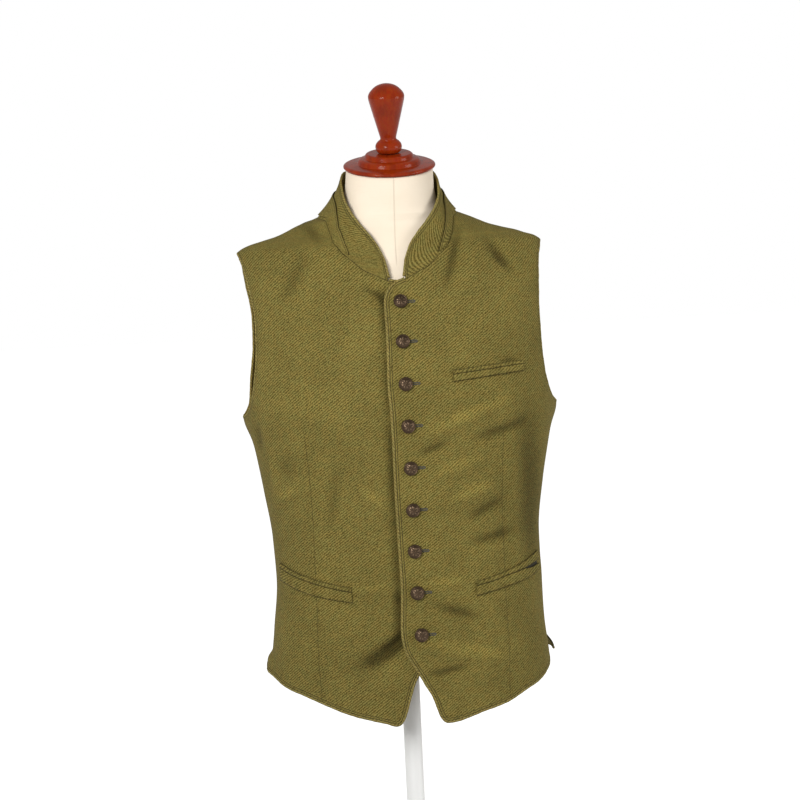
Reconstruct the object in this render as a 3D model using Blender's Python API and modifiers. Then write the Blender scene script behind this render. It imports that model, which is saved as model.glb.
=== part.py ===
"""Stand-collar waistcoat worn by a limbless dress form with a turned neck cap and finial.

Metres, +Z up. The front faces -Y and the wearer's left side lies at +X. The origin is the centre of
the underside of the round base plate.
"""

import math

import bmesh
import bpy
from mathutils import Vector
from mathutils.bvhtree import BVHTree

# Cloth and seams
CLOTH_WALL = 0.0020
SEAM_GAP = 0.0006
LAYER_GAP = 0.0007
BINDING_RADIUS = 0.0013
NOTCH = Vector((0.0, -0.13, 0.16))
ARMHOLE_MIDDLE = Vector((0.17, 0.01, 0.63))
BELOW_BACK = Vector((0.0, 0.11, 0.10))
ABOVE_COLLAR = Vector((0.0, 0.0, 1.0))
BINDING_GAP = 0.0007
MITRE_LIMIT = 0.6
WELT_WALL = 0.0016
WELT_GAP = 0.0013

# How far the lapping front is lifted over the other one, and where that lift fades
LAP_LIFT = 0.0030
LAP_FULL_TO = 0.030
LAP_FADES_TO = 0.060

# Seams, as turns round the body from the centre front in degrees, and how far out the side ones run
SIDE_SEAM = 93.0
SHOULDER_SEAM = 98.0
CENTRE_BACK = 180.0
SIDE_REACH = 0.125

# Heights of the corners of the garment
UNDERARM = 0.528
SHOULDER_TIP = 0.7255
NECK_POINT = 0.7615
SIDE_HEM = 0.231
BACK_SIDE_HEM = 0.229
BACK_HEM = 0.240

# Underarm corners, pushed out from the body
CORNER_PUSH = {1: 0.0075, -1: 0.0060}
CORNER_TURN = 16.0
CORNER_BELOW = 0.022
CORNER_ABOVE = 0.012

# At the side vents the lower corner of the back turns outwards on the wearer's left, and that of the
# front on the right
VENT_TOP = 0.252
VENT_KICK = {1: 0.0090, -1: 0.0}
FRONT_KICK = {1: 0.0, -1: 0.0050}
FRONT_KICK_FADES = (0.235, 0.248)
KICK_TURNS = (6.0, 22.0)

# Buttons
BUTTON_RADIUS = 0.0083
BUTTON_HEIGHT = 0.0052
BUTTON_SIDES = 14

# Dress form
FORM_BOTTOM = 0.246
FORM_EASE_BODY = 0.0065
FORM_EASE_SHOULDER = 0.0026
FORM_EASE_FADES = (0.640, 0.715)
SHOULDER_DROP = 0.0016
FORM_SHOULDER_HALF = 0.1655
FORM_SIDES = 32
FORM_HEIGHTS = (
    (0.246, 0.290, 0.340, 0.390, 0.440, 0.490, 0.530, 0.570, 0.610, 0.645, 0.672)
    + (0.695, 0.711, 0.720, 0.726, 0.730, 0.734, 0.739, 0.744, 0.749, 0.754, 0.758)
)
CAP_TILT = 14.0
CAP_CENTRE = Vector((0.0035, -0.0055, 0.8175))
CAP_RADIUS = 0.0550
CAP_HEIGHT = 0.0183
CAP_SIDES = 28
FINIAL_RADIUS = 0.0217
FINIAL_HEIGHT = 0.0830
FINIAL_LEAN = 1.2
FINIAL_SIDES = 20
POLE_RADIUS = 0.0110
BASE_RADIUS = 0.1500
BASE_HEIGHT = 0.0100
BASE_SIDES = 32
SOCKET_RADIUS = 0.0190
SOCKET_HEIGHT = 0.0220
PART_GAP = 0.0003

# Rings of the body that the cloth lies on, at the inner face of the cloth
RING_COLUMNS = ("z", "centre_x", "centre_y", "half_width", "front", "back", "power")
RINGS = (
    (0.140, 0.0000, 0.001, 0.1695, 0.1090, 0.1110, 2.50),
    (0.200, 0.0000, 0.001, 0.1685, 0.1095, 0.1110, 2.50),
    (0.235, 0.0015, 0.001, 0.1650, 0.1100, 0.1095, 2.50),
    (0.270, 0.0020, 0.001, 0.1610, 0.1105, 0.1050, 2.50),
    (0.330, 0.0045, 0.001, 0.1575, 0.1110, 0.0980, 2.50),
    (0.380, 0.0035, 0.001, 0.1585, 0.1120, 0.0960, 2.50),
    (0.440, 0.0030, 0.001, 0.1660, 0.1150, 0.1010, 2.50),
    (0.500, 0.0035, 0.001, 0.1760, 0.1180, 0.1100, 2.50),
    (0.530, 0.0030, 0.001, 0.1800, 0.1190, 0.1140, 2.50),
    (0.570, 0.0010, 0.001, 0.1810, 0.1180, 0.1170, 2.50),
    (0.620, 0.0018, 0.003, 0.1800, 0.1130, 0.1180, 2.50),
    (0.655, 0.0018, 0.005, 0.1804, 0.1050, 0.1150, 2.45),
    (0.687, 0.0006, 0.009, 0.1820, 0.0950, 0.1060, 2.30),
    (0.711, 0.0000, 0.011, 0.1818, 0.0820, 0.0990, 2.00),
    (0.724, 0.0000, 0.014, 0.1800, 0.0775, 0.0910, 1.75),
    (0.728, 0.0000, 0.015, 0.1750, 0.0770, 0.0890, 1.65),
    (0.732, -0.0010, 0.016, 0.1640, 0.0765, 0.0870, 1.60),
    (0.736, 0.0008, 0.017, 0.1512, 0.0765, 0.0850, 1.60),
    (0.740, 0.0005, 0.018, 0.1360, 0.0770, 0.0820, 1.60),
    (0.745, -0.0015, 0.018, 0.1215, 0.0770, 0.0790, 1.62),
    (0.750, -0.0022, 0.019, 0.1107, 0.0775, 0.0750, 1.65),
    (0.755, -0.0027, 0.020, 0.1002, 0.0780, 0.0710, 1.70),
    (0.760, -0.0008, 0.020, 0.0857, 0.0775, 0.0680, 1.75),
    (0.764, -0.0005, 0.020, 0.0755, 0.0770, 0.0660, 1.80),
    (0.7695, 0.0000, 0.020, 0.0620, 0.0765, 0.0640, 1.80),
)

# Neck of the form above the body rings, as tilted ovals: z, centre_x, centre_y, half_width, half_depth, tilt
NECK_RINGS = (
    (0.7640, 0.0005, 0.0120, 0.0690, 0.0675, 2.0),
    (0.7750, 0.0015, 0.0050, 0.0590, 0.0605, 5.0),
    (0.7900, 0.0025, 0.0000, 0.0541, 0.0565, 9.0),
    (0.8050, 0.0030, -0.0030, 0.0523, 0.0545, 12.0),
)
NECK_TOP_HALF_WIDTH = 0.0517
NECK_TOP_HALF_DEPTH = 0.0525

# Free front edges seen from the front, from the point up to the end of the collar, then the neckline.
# Columns are x and z, with x counted from the centre front towards the wearer's own side of each front.
LAP_EDGE = (
    (0.0315, 0.1713),
    (0.0285, 0.1755),
    (0.0200, 0.2000),
    (0.0112, 0.2160),
    (0.0042, 0.2290),
    (-0.0034, 0.2420),
    (-0.0090, 0.2530),
    (-0.0118, 0.2650),
    (-0.0128, 0.2850),
    (-0.0132, 0.4600),
    (-0.0140, 0.6350),
    (-0.0142, 0.6550),
    (-0.0125, 0.6665),
    (-0.0082, 0.6745),
    (0.0005, 0.6815),
)
UNDER_EDGE = (
    (0.0213, 0.1701),
    (0.0183, 0.1745),
    (0.0098, 0.2000),
    (0.0043, 0.2160),
    (-0.0027, 0.2290),
    (-0.0098, 0.2420),
    (-0.0159, 0.2530),
    (-0.0200, 0.2650),
    (-0.0215, 0.2850),
    (-0.0210, 0.4600),
    (-0.0190, 0.6350),
    (-0.0180, 0.6500),
    (-0.0155, 0.6640),
    (-0.0105, 0.6750),
    (-0.0040, 0.6820),
)
NECKLINE = (
    (0.0095, 0.6848),
    (0.0220, 0.6910),
    (0.0360, 0.6975),
    (0.0510, 0.7110),
    (0.0605, 0.7195),
    (0.0670, 0.7290),
    (0.0705, 0.7385),
    (0.0730, 0.7475),
    (0.0755, 0.7565),
)
NECKLINE_END = (80.0, 0.7603)

# Front hem from the point to the side seam: x, z on the wearer's left, z on the right
FRONT_HEM = (
    (0.0350, 0.1696, 0.1685),
    (0.0450, 0.1704, 0.1717),
    (0.0780, 0.1795, 0.1822),
    (0.1070, 0.1870, 0.1955),
    (0.1300, 0.1979, 0.2060),
    (0.1480, 0.2054, 0.2127),
    (0.1600, 0.2138, 0.2203),
    (0.1660, 0.2205, 0.2271),
)

# Armhole edges from the underarm to the shoulder seam, and the back neckline: turn, z
FRONT_ARMHOLE = (
    (85.0, 0.5300),
    (76.0, 0.5375),
    (68.5, 0.5510),
    (63.5, 0.5720),
    (61.2, 0.6020),
    (60.8, 0.6400),
    (62.5, 0.6680),
    (66.0, 0.6900),
    (72.0, 0.7070),
    (80.0, 0.7185),
    (89.0, 0.7245),
)
BACK_ARMHOLE = (
    (100.0, 0.5305),
    (106.5, 0.5390),
    (111.5, 0.5540),
    (115.0, 0.5780),
    (117.5, 0.6080),
    (118.0, 0.6400),
    (116.0, 0.6680),
    (112.5, 0.6900),
    (108.0, 0.7060),
    (104.0, 0.7170),
    (100.5, 0.7235),
)
BACK_NECKLINE = (
    (CENTRE_BACK, 0.7695),
    (158.0, 0.7688),
    (135.0, 0.7672),
    (115.0, 0.7644),
)

# Upright seams and the back hem, as turn and z from the hem up or from the centre back to the side
CENTRE_BACK_HEIGHTS = (BACK_HEM, 0.40, 0.60, 0.72)
FRONT_SEAM_HEIGHTS = (SIDE_HEM, 0.30, 0.40, UNDERARM)
SHOULDER_HEIGHTS = (NECK_POINT, 0.7550, 0.7450, 0.7360, SHOULDER_TIP)
BACK_HEM_POINTS = ((150.0, BACK_HEM), (120.0, 0.2360))
VENT_OPENS = ((0.9, BACK_SIDE_HEM), (0.6, VENT_TOP), (0.0, 0.30), (0.0, UNDERARM))

# Long front darts, seen from the front on the wearer's own side: x, z
DART = (
    (0.1160, 0.5150),
    (0.1120, 0.4600),
    (0.1100, 0.3900),
    (0.1100, 0.3200),
    (0.1115, 0.2500),
    (0.1100, 0.1950),
)
DART_HALF_WIDTH = 0.010
DART_DEPTH = 0.0016

# Main folds of the fronts: line from one end to the other seen from the front, half width and depth.
# A negative depth is a ridge. Columns are side, x0, z0, x1, z1, half_width, depth.
FOLDS = (
    (-1, -0.0240, 0.6300, -0.0230, 0.4300, 0.0090, 0.0028),
    (-1, -0.0230, 0.4300, -0.0220, 0.2800, 0.0090, 0.0024),
    (-1, -0.0440, 0.2760, -0.0130, 0.2450, 0.0080, 0.0030),
    (-1, -0.0420, 0.6700, -0.0200, 0.6570, 0.0080, 0.0022),
    (1, 0.1150, 0.4350, 0.0500, 0.3500, 0.0160, 0.0020),
    (1, 0.1250, 0.4700, 0.1120, 0.3600, 0.0110, -0.0014),
    (1, 0.0980, 0.7160, 0.1350, 0.6800, 0.0120, 0.0016),
    (-1, -0.1050, 0.7140, -0.1300, 0.6700, 0.0140, 0.0014),
    (-1, -0.1630, 0.5200, -0.1570, 0.4300, 0.0070, -0.0018),
    (1, 0.1700, 0.5200, 0.1620, 0.4400, 0.0070, -0.0018),
    (-1, -0.0900, 0.3600, -0.1350, 0.3750, 0.0100, 0.0016),
    (1, 0.0850, 0.3520, 0.1350, 0.3700, 0.0100, 0.0016),
)

# Main folds of the backs: side, turn0, z0, turn1, z1, half_width, depth
BACK_FOLDS = (
    (1, 125.0, 0.4000, 160.0, 0.3650, 0.0140, 0.0022),
    (-1, 122.0, 0.4150, 155.0, 0.3720, 0.0140, 0.0024),
    (1, 120.0, 0.5600, 150.0, 0.5150, 0.0180, 0.0018),
    (-1, 124.0, 0.5500, 152.0, 0.4980, 0.0180, 0.0018),
)

# Top edge of the collar stand from the throat to the centre back: x, y, z
COLLAR_TOP = (
    (0.0148, -0.0735, 0.7105),
    (0.0220, -0.0645, 0.7265),
    (0.0308, -0.0600, 0.7390),
    (0.0407, -0.0535, 0.7510),
    (0.0515, -0.0420, 0.7680),
    (0.0563, -0.0250, 0.7830),
    (0.0572, -0.0040, 0.7985),
    (0.0548, 0.0180, 0.8080),
    (0.0500, 0.0370, 0.8130),
    (0.0390, 0.0530, 0.8155),
    (0.0210, 0.0630, 0.8165),
    (0.0000, 0.0660, 0.8170),
)
COLLAR_ROWS = 3
COLLAR_BELLY_FRONT = 0.0015
COLLAR_BELLY_SIDE = -0.0035
COLLAR_BELLY_TURNS = (0.28, 0.50)
COLLAR_CLEAR = 0.0002
COLLAR_HEART = Vector((0.0, 0.01, 0.0))
NECK_MIDDLE = Vector((0.0, 0.02, 0.90))
COLLAR_SHIFT = 0.0025
COLLAR_SHIFTS = (0.720, 0.790)

# Outer band of the collar: where its upper edge lies, along and up the stand
BAND_COLUMNS = ("along", "up")
BAND_TOP = (
    (0.190, 0.04),
    (0.235, 0.25),
    (0.300, 0.43),
    (0.400, 0.58),
    (0.550, 0.66),
    (0.800, 0.64),
    (1.000, 0.63),
)
BAND_FOOT = 0.0034
BAND_LEAST = 0.04

# Welt pockets on the fronts, seen from the front: mouth, foot and top of the upper welt
POCKET_COLUMNS = ("x", "mouth", "foot", "jet_top")
LOWER_POCKET_RIGHT = (
    (0.0700, 0.3262, 0.3138, 0.3305),
    (0.0900, 0.3305, 0.3170, 0.3350),
    (0.1120, 0.3365, 0.3215, 0.3412),
    (0.1330, 0.3440, 0.3290, 0.3490),
    (0.1480, 0.3520, 0.3365, 0.3575),
)
LOWER_POCKET_LEFT = (
    (0.0750, 0.3262, 0.3140, 0.3302),
    (0.0950, 0.3300, 0.3180, 0.3345),
    (0.1150, 0.3350, 0.3220, 0.3402),
    (0.1370, 0.3400, 0.3270, 0.3480),
    (0.1540, 0.3450, 0.3330, 0.3560),
)
CHEST_POCKET = (
    (0.0585, 0.5745, 0.5663, 0.5785),
    (0.0860, 0.5772, 0.5690, 0.5812),
    (0.1140, 0.5795, 0.5715, 0.5832),
    (0.1420, 0.5815, 0.5735, 0.5848),
)
POCKET_STEPS = 14
POCKET_MOUTH = 0.0008
POCKET_GAPE = 0.0040
POCKET_GAPES = (0.72, 0.92)

# Buttons seen from the front: x, z
BUTTONS = (
    (0.0022, 0.6594),
    (0.0018, 0.6145),
    (0.0022, 0.5665),
    (0.0030, 0.5180),
    (0.0038, 0.4690),
    (0.0042, 0.4200),
    (0.0042, 0.3715),
    (0.0050, 0.3225),
    (0.0077, 0.2730),
)

# Turned outlines from the top down, as shares of the radius and of the height
BUTTON_SHAPE = (
    (0.00, 1.00),
    (0.42, 0.92),
    (0.76, 0.65),
    (0.89, 0.58),
    (1.00, 0.35),
    (0.91, 0.12),
    (0.00, 0.00),
)
CAP_SHAPE = (
    (0.000, 1.000),
    (0.476, 1.000),
    (0.518, 0.902),
    (0.527, 0.710),
    (0.618, 0.667),
    (0.669, 0.574),
    (0.684, 0.350),
    (0.945, 0.306),
    (0.993, 0.240),
    (1.000, 0.142),
    (0.973, 0.033),
    (0.909, 0.000),
    (0.000, 0.000),
)
FINIAL_SHAPE = (
    (0.000, 1.000),
    (0.399, 0.982),
    (0.704, 0.935),
    (0.915, 0.875),
    (1.000, 0.827),
    (0.972, 0.762),
    (0.775, 0.560),
    (0.587, 0.369),
    (0.437, 0.220),
    (0.441, 0.190),
    (0.587, 0.164),
    (0.704, 0.125),
    (0.737, 0.083),
    (0.695, 0.036),
    (0.587, 0.000),
    (0.000, 0.000),
)
BASE_SHAPE = (
    (0.967, 1.000),
    (0.990, 0.900),
    (1.000, 0.650),
    (1.000, 0.000),
    (0.000, 0.000),
)

# Grid of each cloth panel, as shares of the way from the front edge, or the middle of the back, to the side
LAP_COLUMNS = (0.0, 0.035, 0.08, 0.13, 0.19, 0.26, 0.34, 0.42, 0.50, 0.58, 0.66, 0.74, 0.82, 0.91, 1.0)
UNDER_COLUMNS = (
    (0.00, 0.07, 0.13, 0.165, 0.20, 0.235, 0.28, 0.35, 0.43, 0.51, 0.59, 0.67, 0.75, 0.83, 0.92, 1.00)
)
BACK_COLUMNS = (0.0, 0.09, 0.18, 0.27, 0.36, 0.45, 0.54, 0.63, 0.72, 0.81, 0.90, 1.0)

# Rows of the grids, as shares of each edge: up the front edge or the middle of the back, up the neckline,
# up the side seam and up the armhole
FRONT_EDGE_ROWS = (
    (0.000, 0.013, 0.045, 0.085, 0.122, 0.155, 0.190, 0.230, 0.310, 0.395, 0.480, 0.565, 0.650)
    + (0.730, 0.805, 0.870, 0.925, 0.967, 1.000)
)
NECKLINE_ROWS = (0.12, 0.26, 0.41, 0.55, 0.68, 0.80, 0.91, 1.0)
BACK_MIDDLE_ROWS = (
    (0.000, 0.025, 0.055, 0.090, 0.130, 0.170, 0.215, 0.265, 0.310, 0.355, 0.400, 0.440, 0.480)
    + (0.570, 0.665, 0.755, 0.830, 0.885, 0.940, 1.000)
)
BACK_NECK_ROWS = (0.18, 0.35, 0.50, 0.64, 0.77, 0.89, 1.0)
SIDE_SEAM_ROWS = (0.0, 0.05, 0.11, 0.18, 0.26, 0.34, 0.43, 0.53, 0.63, 0.73, 0.83, 0.92, 1.0)
ARMHOLE_ROWS = (0.05, 0.11, 0.18, 0.26, 0.34, 0.43, 0.52, 0.61, 0.70, 0.78, 0.85, 0.91, 0.96, 1.0)

# Fineness of measuring
TURN_STEP = 0.4
RISE_STEP = 0.0006
SLOPE_STEPS = 260
SAME_POINT = 6
FAR_OUTSIDE = 0.05

COLLECTION = "waistcoat_on_dress_form"

# Finish of each material: colour, roughness, metallic
OLIVE_CLOTH = ("olive_twill", (0.175, 0.150, 0.045), 0.85, 0.0)
OLIVE_BINDING = ("olive_binding", (0.150, 0.128, 0.038), 0.85, 0.0)
BRONZE = ("dark_bronze", (0.090, 0.065, 0.050), 0.40, 0.9)
LINEN = ("cream_linen", (0.780, 0.690, 0.540), 0.90, 0.0)
MAHOGANY = ("polished_mahogany", (0.240, 0.040, 0.012), 0.25, 0.0)
WHITE_PAINT = ("white_paint", (0.850, 0.850, 0.830), 0.45, 0.0)


# Curves through tables


class Table:
    """Rows read as smooth columns that never overshoot them."""

    def __init__(self, columns, rows):
        self.columns = columns
        self.keys = [row[0] for row in rows]
        self.values = {name: [row[i] for row in rows] for i, name in enumerate(columns)}
        self.slopes = {name: self._slopes(self.values[name]) for name in columns[1:]}

    def _slopes(self, values):
        keys = self.keys
        rise = [(values[i + 1] - values[i]) / (keys[i + 1] - keys[i]) for i in range(len(keys) - 1)]
        slopes = [rise[0]]
        for before, after in zip(rise, rise[1:]):
            slopes.append(0.0 if before * after <= 0.0 else 2.0 * before * after / (before + after))
        slopes.append(rise[-1])
        return slopes

    def at(self, key, name):
        keys = self.keys
        key = min(max(key, keys[0]), keys[-1])
        i = 0
        while i < len(keys) - 2 and key > keys[i + 1]:
            i += 1
        step = keys[i + 1] - keys[i]
        t = (key - keys[i]) / step
        a, b = self.values[name][i], self.values[name][i + 1]
        m, n = self.slopes[name][i] * step, self.slopes[name][i + 1] * step
        rest = 1.0 - t
        return (
            a * (1.0 + 2.0 * t) * rest * rest
            + b * t * t * (3.0 - 2.0 * t)
            + m * t * rest * rest
            - n * t * t * rest
        )


class Route:
    """A smooth line through points of any dimension, read by its share of the measured length."""

    def __init__(self, points, measure):
        self.points = [tuple(p) for p in points]
        lengths = [0.0]
        for p, q in zip(self.points, self.points[1:]):
            lengths.append(lengths[-1] + (measure(*q) - measure(*p)).length)
        self.shares = [length / lengths[-1] for length in lengths]
        self.length = lengths[-1]
        self.table = Table(
            ("share",) + tuple(range(len(self.points[0]))),
            [(share,) + point for share, point in zip(self.shares, self.points)],
        )

    def at(self, share):
        return tuple(self.table.at(share, axis) for axis in range(len(self.points[0])))


def fade(value, low, high):
    """0 below low, 1 above high, smooth between."""
    t = min(max((value - low) / (high - low), 0.0), 1.0)
    return t * t * (3.0 - 2.0 * t)


# The body under the cloth

BODY = Table(RING_COLUMNS, RINGS)


def oval(turn, power):
    """Sine and cosine of a squarish oval in the direction of a turn in degrees."""
    s, c = math.sin(math.radians(turn)), math.cos(math.radians(turn))
    size = (abs(s) ** power + abs(c) ** power) ** (1.0 / power)
    return s / size, c / size


def bare_body(turn, z):
    s, c = oval(turn, BODY.at(z, "power"))
    depth = BODY.at(z, "front") if c > 0.0 else BODY.at(z, "back")
    x = BODY.at(z, "centre_x") + BODY.at(z, "half_width") * s
    y = BODY.at(z, "centre_y") - depth * c
    return Vector((x, y, z))


def turn_at(x, z):
    """Turn of the point of the front that shows at x."""
    power = BODY.at(z, "power")
    share = (x - BODY.at(z, "centre_x")) / BODY.at(z, "half_width")
    share = max(-0.99999, min(0.99999, share))
    part = abs(share) ** power
    turn = math.degrees(math.atan((part / (1.0 - part)) ** (1.0 / power)))
    return math.copysign(turn, share)


def way_out(turn, z):
    """Unit vector away from the body."""
    across = bare_body(turn + TURN_STEP, z) - bare_body(turn - TURN_STEP, z)
    up = bare_body(turn, z + RISE_STEP) - bare_body(turn, z - RISE_STEP)
    return across.cross(up).normalized()


def slope_lengths():
    """Height against length measured up the side of the body."""
    rows = []
    length = 0.0
    low, high = RINGS[0][0], RINGS[-1][0]
    previous = None
    for i in range(SLOPE_STEPS + 1):
        z = low + (high - low) * i / SLOPE_STEPS
        here = Vector((BODY.at(z, "half_width"), z))
        if previous is not None:
            length += (here - previous).length
        rows.append((length, z))
        previous = here
    return rows


SLOPE = slope_lengths()


def length_to_height(length):
    length = min(max(length, SLOPE[0][0]), SLOPE[-1][0])
    for (l0, z0), (l1, z1) in zip(SLOPE, SLOPE[1:]):
        if length <= l1:
            return z0 + (z1 - z0) * (length - l0) / (l1 - l0)
    return SLOPE[-1][1]


def height_to_length(z):
    for (l0, z0), (l1, z1) in zip(SLOPE, SLOPE[1:]):
        if z <= z1:
            return l0 + (l1 - l0) * (z - z0) / (z1 - z0)
    return SLOPE[-1][0]


# Shape of the cloth on the body


def from_line(x, z, x0, z0, x1, z1):
    """Distance to a line and how far along it the nearest point lies, both seen flat."""
    length = (x1 - x0) ** 2 + (z1 - z0) ** 2
    share = ((x - x0) * (x1 - x0) + (z - z0) * (z1 - z0)) / length
    share = min(max(share, 0.0), 1.0)
    return math.hypot(x - x0 - share * (x1 - x0), z - z0 - share * (z1 - z0)), share


def soft_line(distance, half_width):
    return math.exp(-((distance / half_width) ** 2))


DART_LINE = Table(("z", "x"), [(z, x) for x, z in reversed(DART)])


def front_relief(side, x, z):
    """Height of the cloth above the plain body at a point of a front."""
    height = 0.0
    if side > 0:
        height += LAP_LIFT * (1.0 - fade(x, LAP_FULL_TO, LAP_FADES_TO))
    own = side * x
    low, high = DART[-1][1], DART[0][1]
    along = fade(z, low - 0.03, low) * (1.0 - fade(z, high - 0.03, high))
    height -= DART_DEPTH * along * soft_line(own - DART_LINE.at(z, "x"), DART_HALF_WIDTH)
    for fold_side, x0, z0, x1, z1, half_width, depth in FOLDS:
        if fold_side == side:
            distance, share = from_line(x, z, x0, z0, x1, z1)
            height -= depth * soft_line(distance, half_width)
    return height


def corner_push(side, turn, z):
    reach = CORNER_ABOVE if z > UNDERARM else CORNER_BELOW
    near = soft_line(abs(turn) - SIDE_SEAM, CORNER_TURN) * soft_line(z - UNDERARM, reach)
    return CORNER_PUSH[side] * near


def front_cloth(side, turn, z):
    """Point of the inner face of a front."""
    flat = bare_body(turn, z)
    height = front_relief(side, flat.x, z) + corner_push(side, turn, z)
    near_side = 1.0 - fade(SIDE_SEAM - abs(turn), *KICK_TURNS)
    height += FRONT_KICK[side] * near_side * (1.0 - fade(z, *FRONT_KICK_FADES))
    return flat + way_out(turn, z) * height


def back_cloth(side, turn, z):
    """Point of the inner face of a back."""
    flat = bare_body(turn, z)
    height = corner_push(side, turn, z)
    own = abs(turn)
    near_side = 1.0 - fade(own - SIDE_SEAM, *KICK_TURNS)
    height += VENT_KICK[side] * near_side * (1.0 - fade(z, BACK_SIDE_HEM, VENT_TOP))
    for fold_side, turn0, z0, turn1, z1, half_width, depth in BACK_FOLDS:
        if fold_side == side:
            arc = BODY.at(z, "half_width") * math.pi / 180.0
            distance, share = from_line(own * arc, z, turn0 * arc, z0, turn1 * arc, z1)
            height -= depth * soft_line(distance, half_width)
    return flat + way_out(turn, z) * height


# Edges of the panels, each as turn and slope length on the wearer's own side


def domain(turn, z):
    return (turn, height_to_length(z))


def domain_point(turn, length):
    return bare_body(turn, length_to_height(length))


def route(points):
    return Route([domain(turn, z) for turn, z in points], domain_point)


def own_turn(side, x, z):
    return side * turn_at(side * x, z)


def front_edges(side):
    edge = LAP_EDGE if side > 0 else UNDER_EDGE
    seam = SIDE_SEAM - gap_turn()
    inner = [(own_turn(side, x, z), z) for x, z in edge]
    neck = [(own_turn(side, x, z), z) for x, z in NECKLINE]
    neck.append(NECKLINE_END)
    neck.append((SHOULDER_SEAM - gap_turn(), NECK_POINT))
    hem_z = 1 if side > 0 else 2
    hem = [inner[0]]
    shift = edge[0][0] - LAP_EDGE[0][0]
    for row in FRONT_HEM:
        x = row[0] + shift * (1.0 - fade(row[0], 0.03, 0.12))
        hem.append((own_turn(side, x, row[hem_z]), row[hem_z]))
    hem.append((seam, SIDE_HEM))
    armhole = [(seam, UNDERARM)] + list(FRONT_ARMHOLE)
    armhole.append((SHOULDER_SEAM - gap_turn(), SHOULDER_TIP))
    return {
        "inner": route(inner + neck),
        "hem": route(hem),
        "seam": route([(seam, z) for z in FRONT_SEAM_HEIGHTS]),
        "armhole": route(armhole),
        "shoulder": shoulder_route(SHOULDER_SEAM - gap_turn()),
    }


def shoulder_route(turn):
    return route([(turn, z) for z in SHOULDER_HEIGHTS])


def gap_turn():
    """Turn that half of a seam's gap takes at the side of the body."""
    return math.degrees(0.5 * SEAM_GAP / SIDE_REACH)


def back_edges():
    seam = SIDE_SEAM + gap_turn()
    neck = list(BACK_NECKLINE)
    neck.append((SHOULDER_SEAM + gap_turn(), NECK_POINT))
    centre = [(CENTRE_BACK, z) for z in CENTRE_BACK_HEIGHTS]
    vent = [(seam + opens, z) for opens, z in VENT_OPENS]
    hem = [centre[0], *BACK_HEM_POINTS, vent[0]]
    armhole = [(seam, UNDERARM)] + list(BACK_ARMHOLE)
    armhole.append((SHOULDER_SEAM + gap_turn(), SHOULDER_TIP))
    return {
        "inner": route(centre + neck),
        "hem": route(hem),
        "seam": route(vent),
        "armhole": route(armhole),
        "shoulder": shoulder_route(SHOULDER_SEAM + gap_turn()),
    }


def panel_domain(edges, columns, inner_shares):
    """Turn and height of each point of a panel's grid, rows from hem to shoulder."""
    inner, seam, armhole, hem, shoulder = (
        edges[name] for name in ("inner", "seam", "armhole", "hem", "shoulder")
    )
    right_side = [seam.at(share) for share in SIDE_SEAM_ROWS] + [armhole.at(share) for share in ARMHOLE_ROWS]
    grid = []
    for j, right in enumerate(right_side):
        v = j / (len(right_side) - 1)
        left = inner.at(inner_shares[j])
        row = []
        for u in columns:
            low, high = hem.at(u), shoulder.at(u)
            point = []
            for axis in range(2):
                corner = (
                    (1 - u) * (1 - v) * hem.at(0.0)[axis]
                    + u * (1 - v) * hem.at(1.0)[axis]
                    + (1 - u) * v * shoulder.at(0.0)[axis]
                    + u * v * shoulder.at(1.0)[axis]
                )
                blend = (1 - v) * low[axis] + v * high[axis] + (1 - u) * left[axis] + u * right[axis]
                point.append(blend - corner)
            row.append((point[0], length_to_height(point[1])))
        grid.append(row)
    return grid


def inner_shares(edge, break_point, below, above):
    """Shares of a panel's inner edge for its rows: below its corner at the neck and above it."""
    corner = edge.shares[break_point]
    return [corner * share for share in below] + [corner + (1.0 - corner) * share for share in above]


# Objects


def finish(finish_values):
    name, colour, roughness, metallic = finish_values
    material = bpy.data.materials.get(name)
    if material is None:
        material = bpy.data.materials.new(name)
        material.use_nodes = True
        shader = material.node_tree.nodes["Principled BSDF"]
        shader.inputs["Base Color"].default_value = (*colour, 1.0)
        shader.inputs["Roughness"].default_value = roughness
        shader.inputs["Metallic"].default_value = metallic
    return material


def place(obj, finish_values, parent=None):
    bpy.data.collections[COLLECTION].objects.link(obj)
    obj.data.materials.append(finish(finish_values))
    if parent is not None:
        obj.parent = parent
    return obj


def facing_faces(points, numbers):
    """Faces of a sheet given as rows of point numbers, all turned away from the body."""
    faces = []
    facing = 0.0
    for low, high in zip(numbers, numbers[1:]):
        for i in range(len(low) - 1):
            face = (low[i], low[i + 1], high[i + 1], high[i])
            a, b, c, d = (points[n] for n in face)
            facing += (c - a).cross(d - b).dot(away_from_axis(a + c))
            faces.append(face)
    return faces if facing > 0.0 else [tuple(reversed(face)) for face in faces]


def sheet_mesh(name, sheets, wall, finish_values):
    """Sheets through rows of points, joined where their points meet and thickened away from the body.

    Gives the object and, for each sheet, its rows of point numbers.
    """
    points = []
    found = {}
    numbered = []
    for rows in sheets:
        numbers = []
        for row in rows:
            line = []
            for point in row:
                key = tuple(round(value, SAME_POINT) for value in point)
                if key not in found:
                    found[key] = len(points)
                    points.append(point)
                line.append(found[key])
            numbers.append(line)
        numbered.append(numbers)
    faces = [face for numbers in numbered for face in facing_faces(points, numbers)]
    mesh = bpy.data.meshes.new(name)
    mesh.from_pydata([tuple(point) for point in points], [], faces)
    mesh.shade_smooth()
    obj = bpy.data.objects.new(name, mesh)
    wall_modifier = obj.modifiers.new("wall", "SOLIDIFY")
    wall_modifier.thickness = wall
    wall_modifier.offset = 1.0
    return place(obj, finish_values), numbered


def away_from_axis(point):
    return Vector((point.x, point.y, 0.0))


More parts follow.
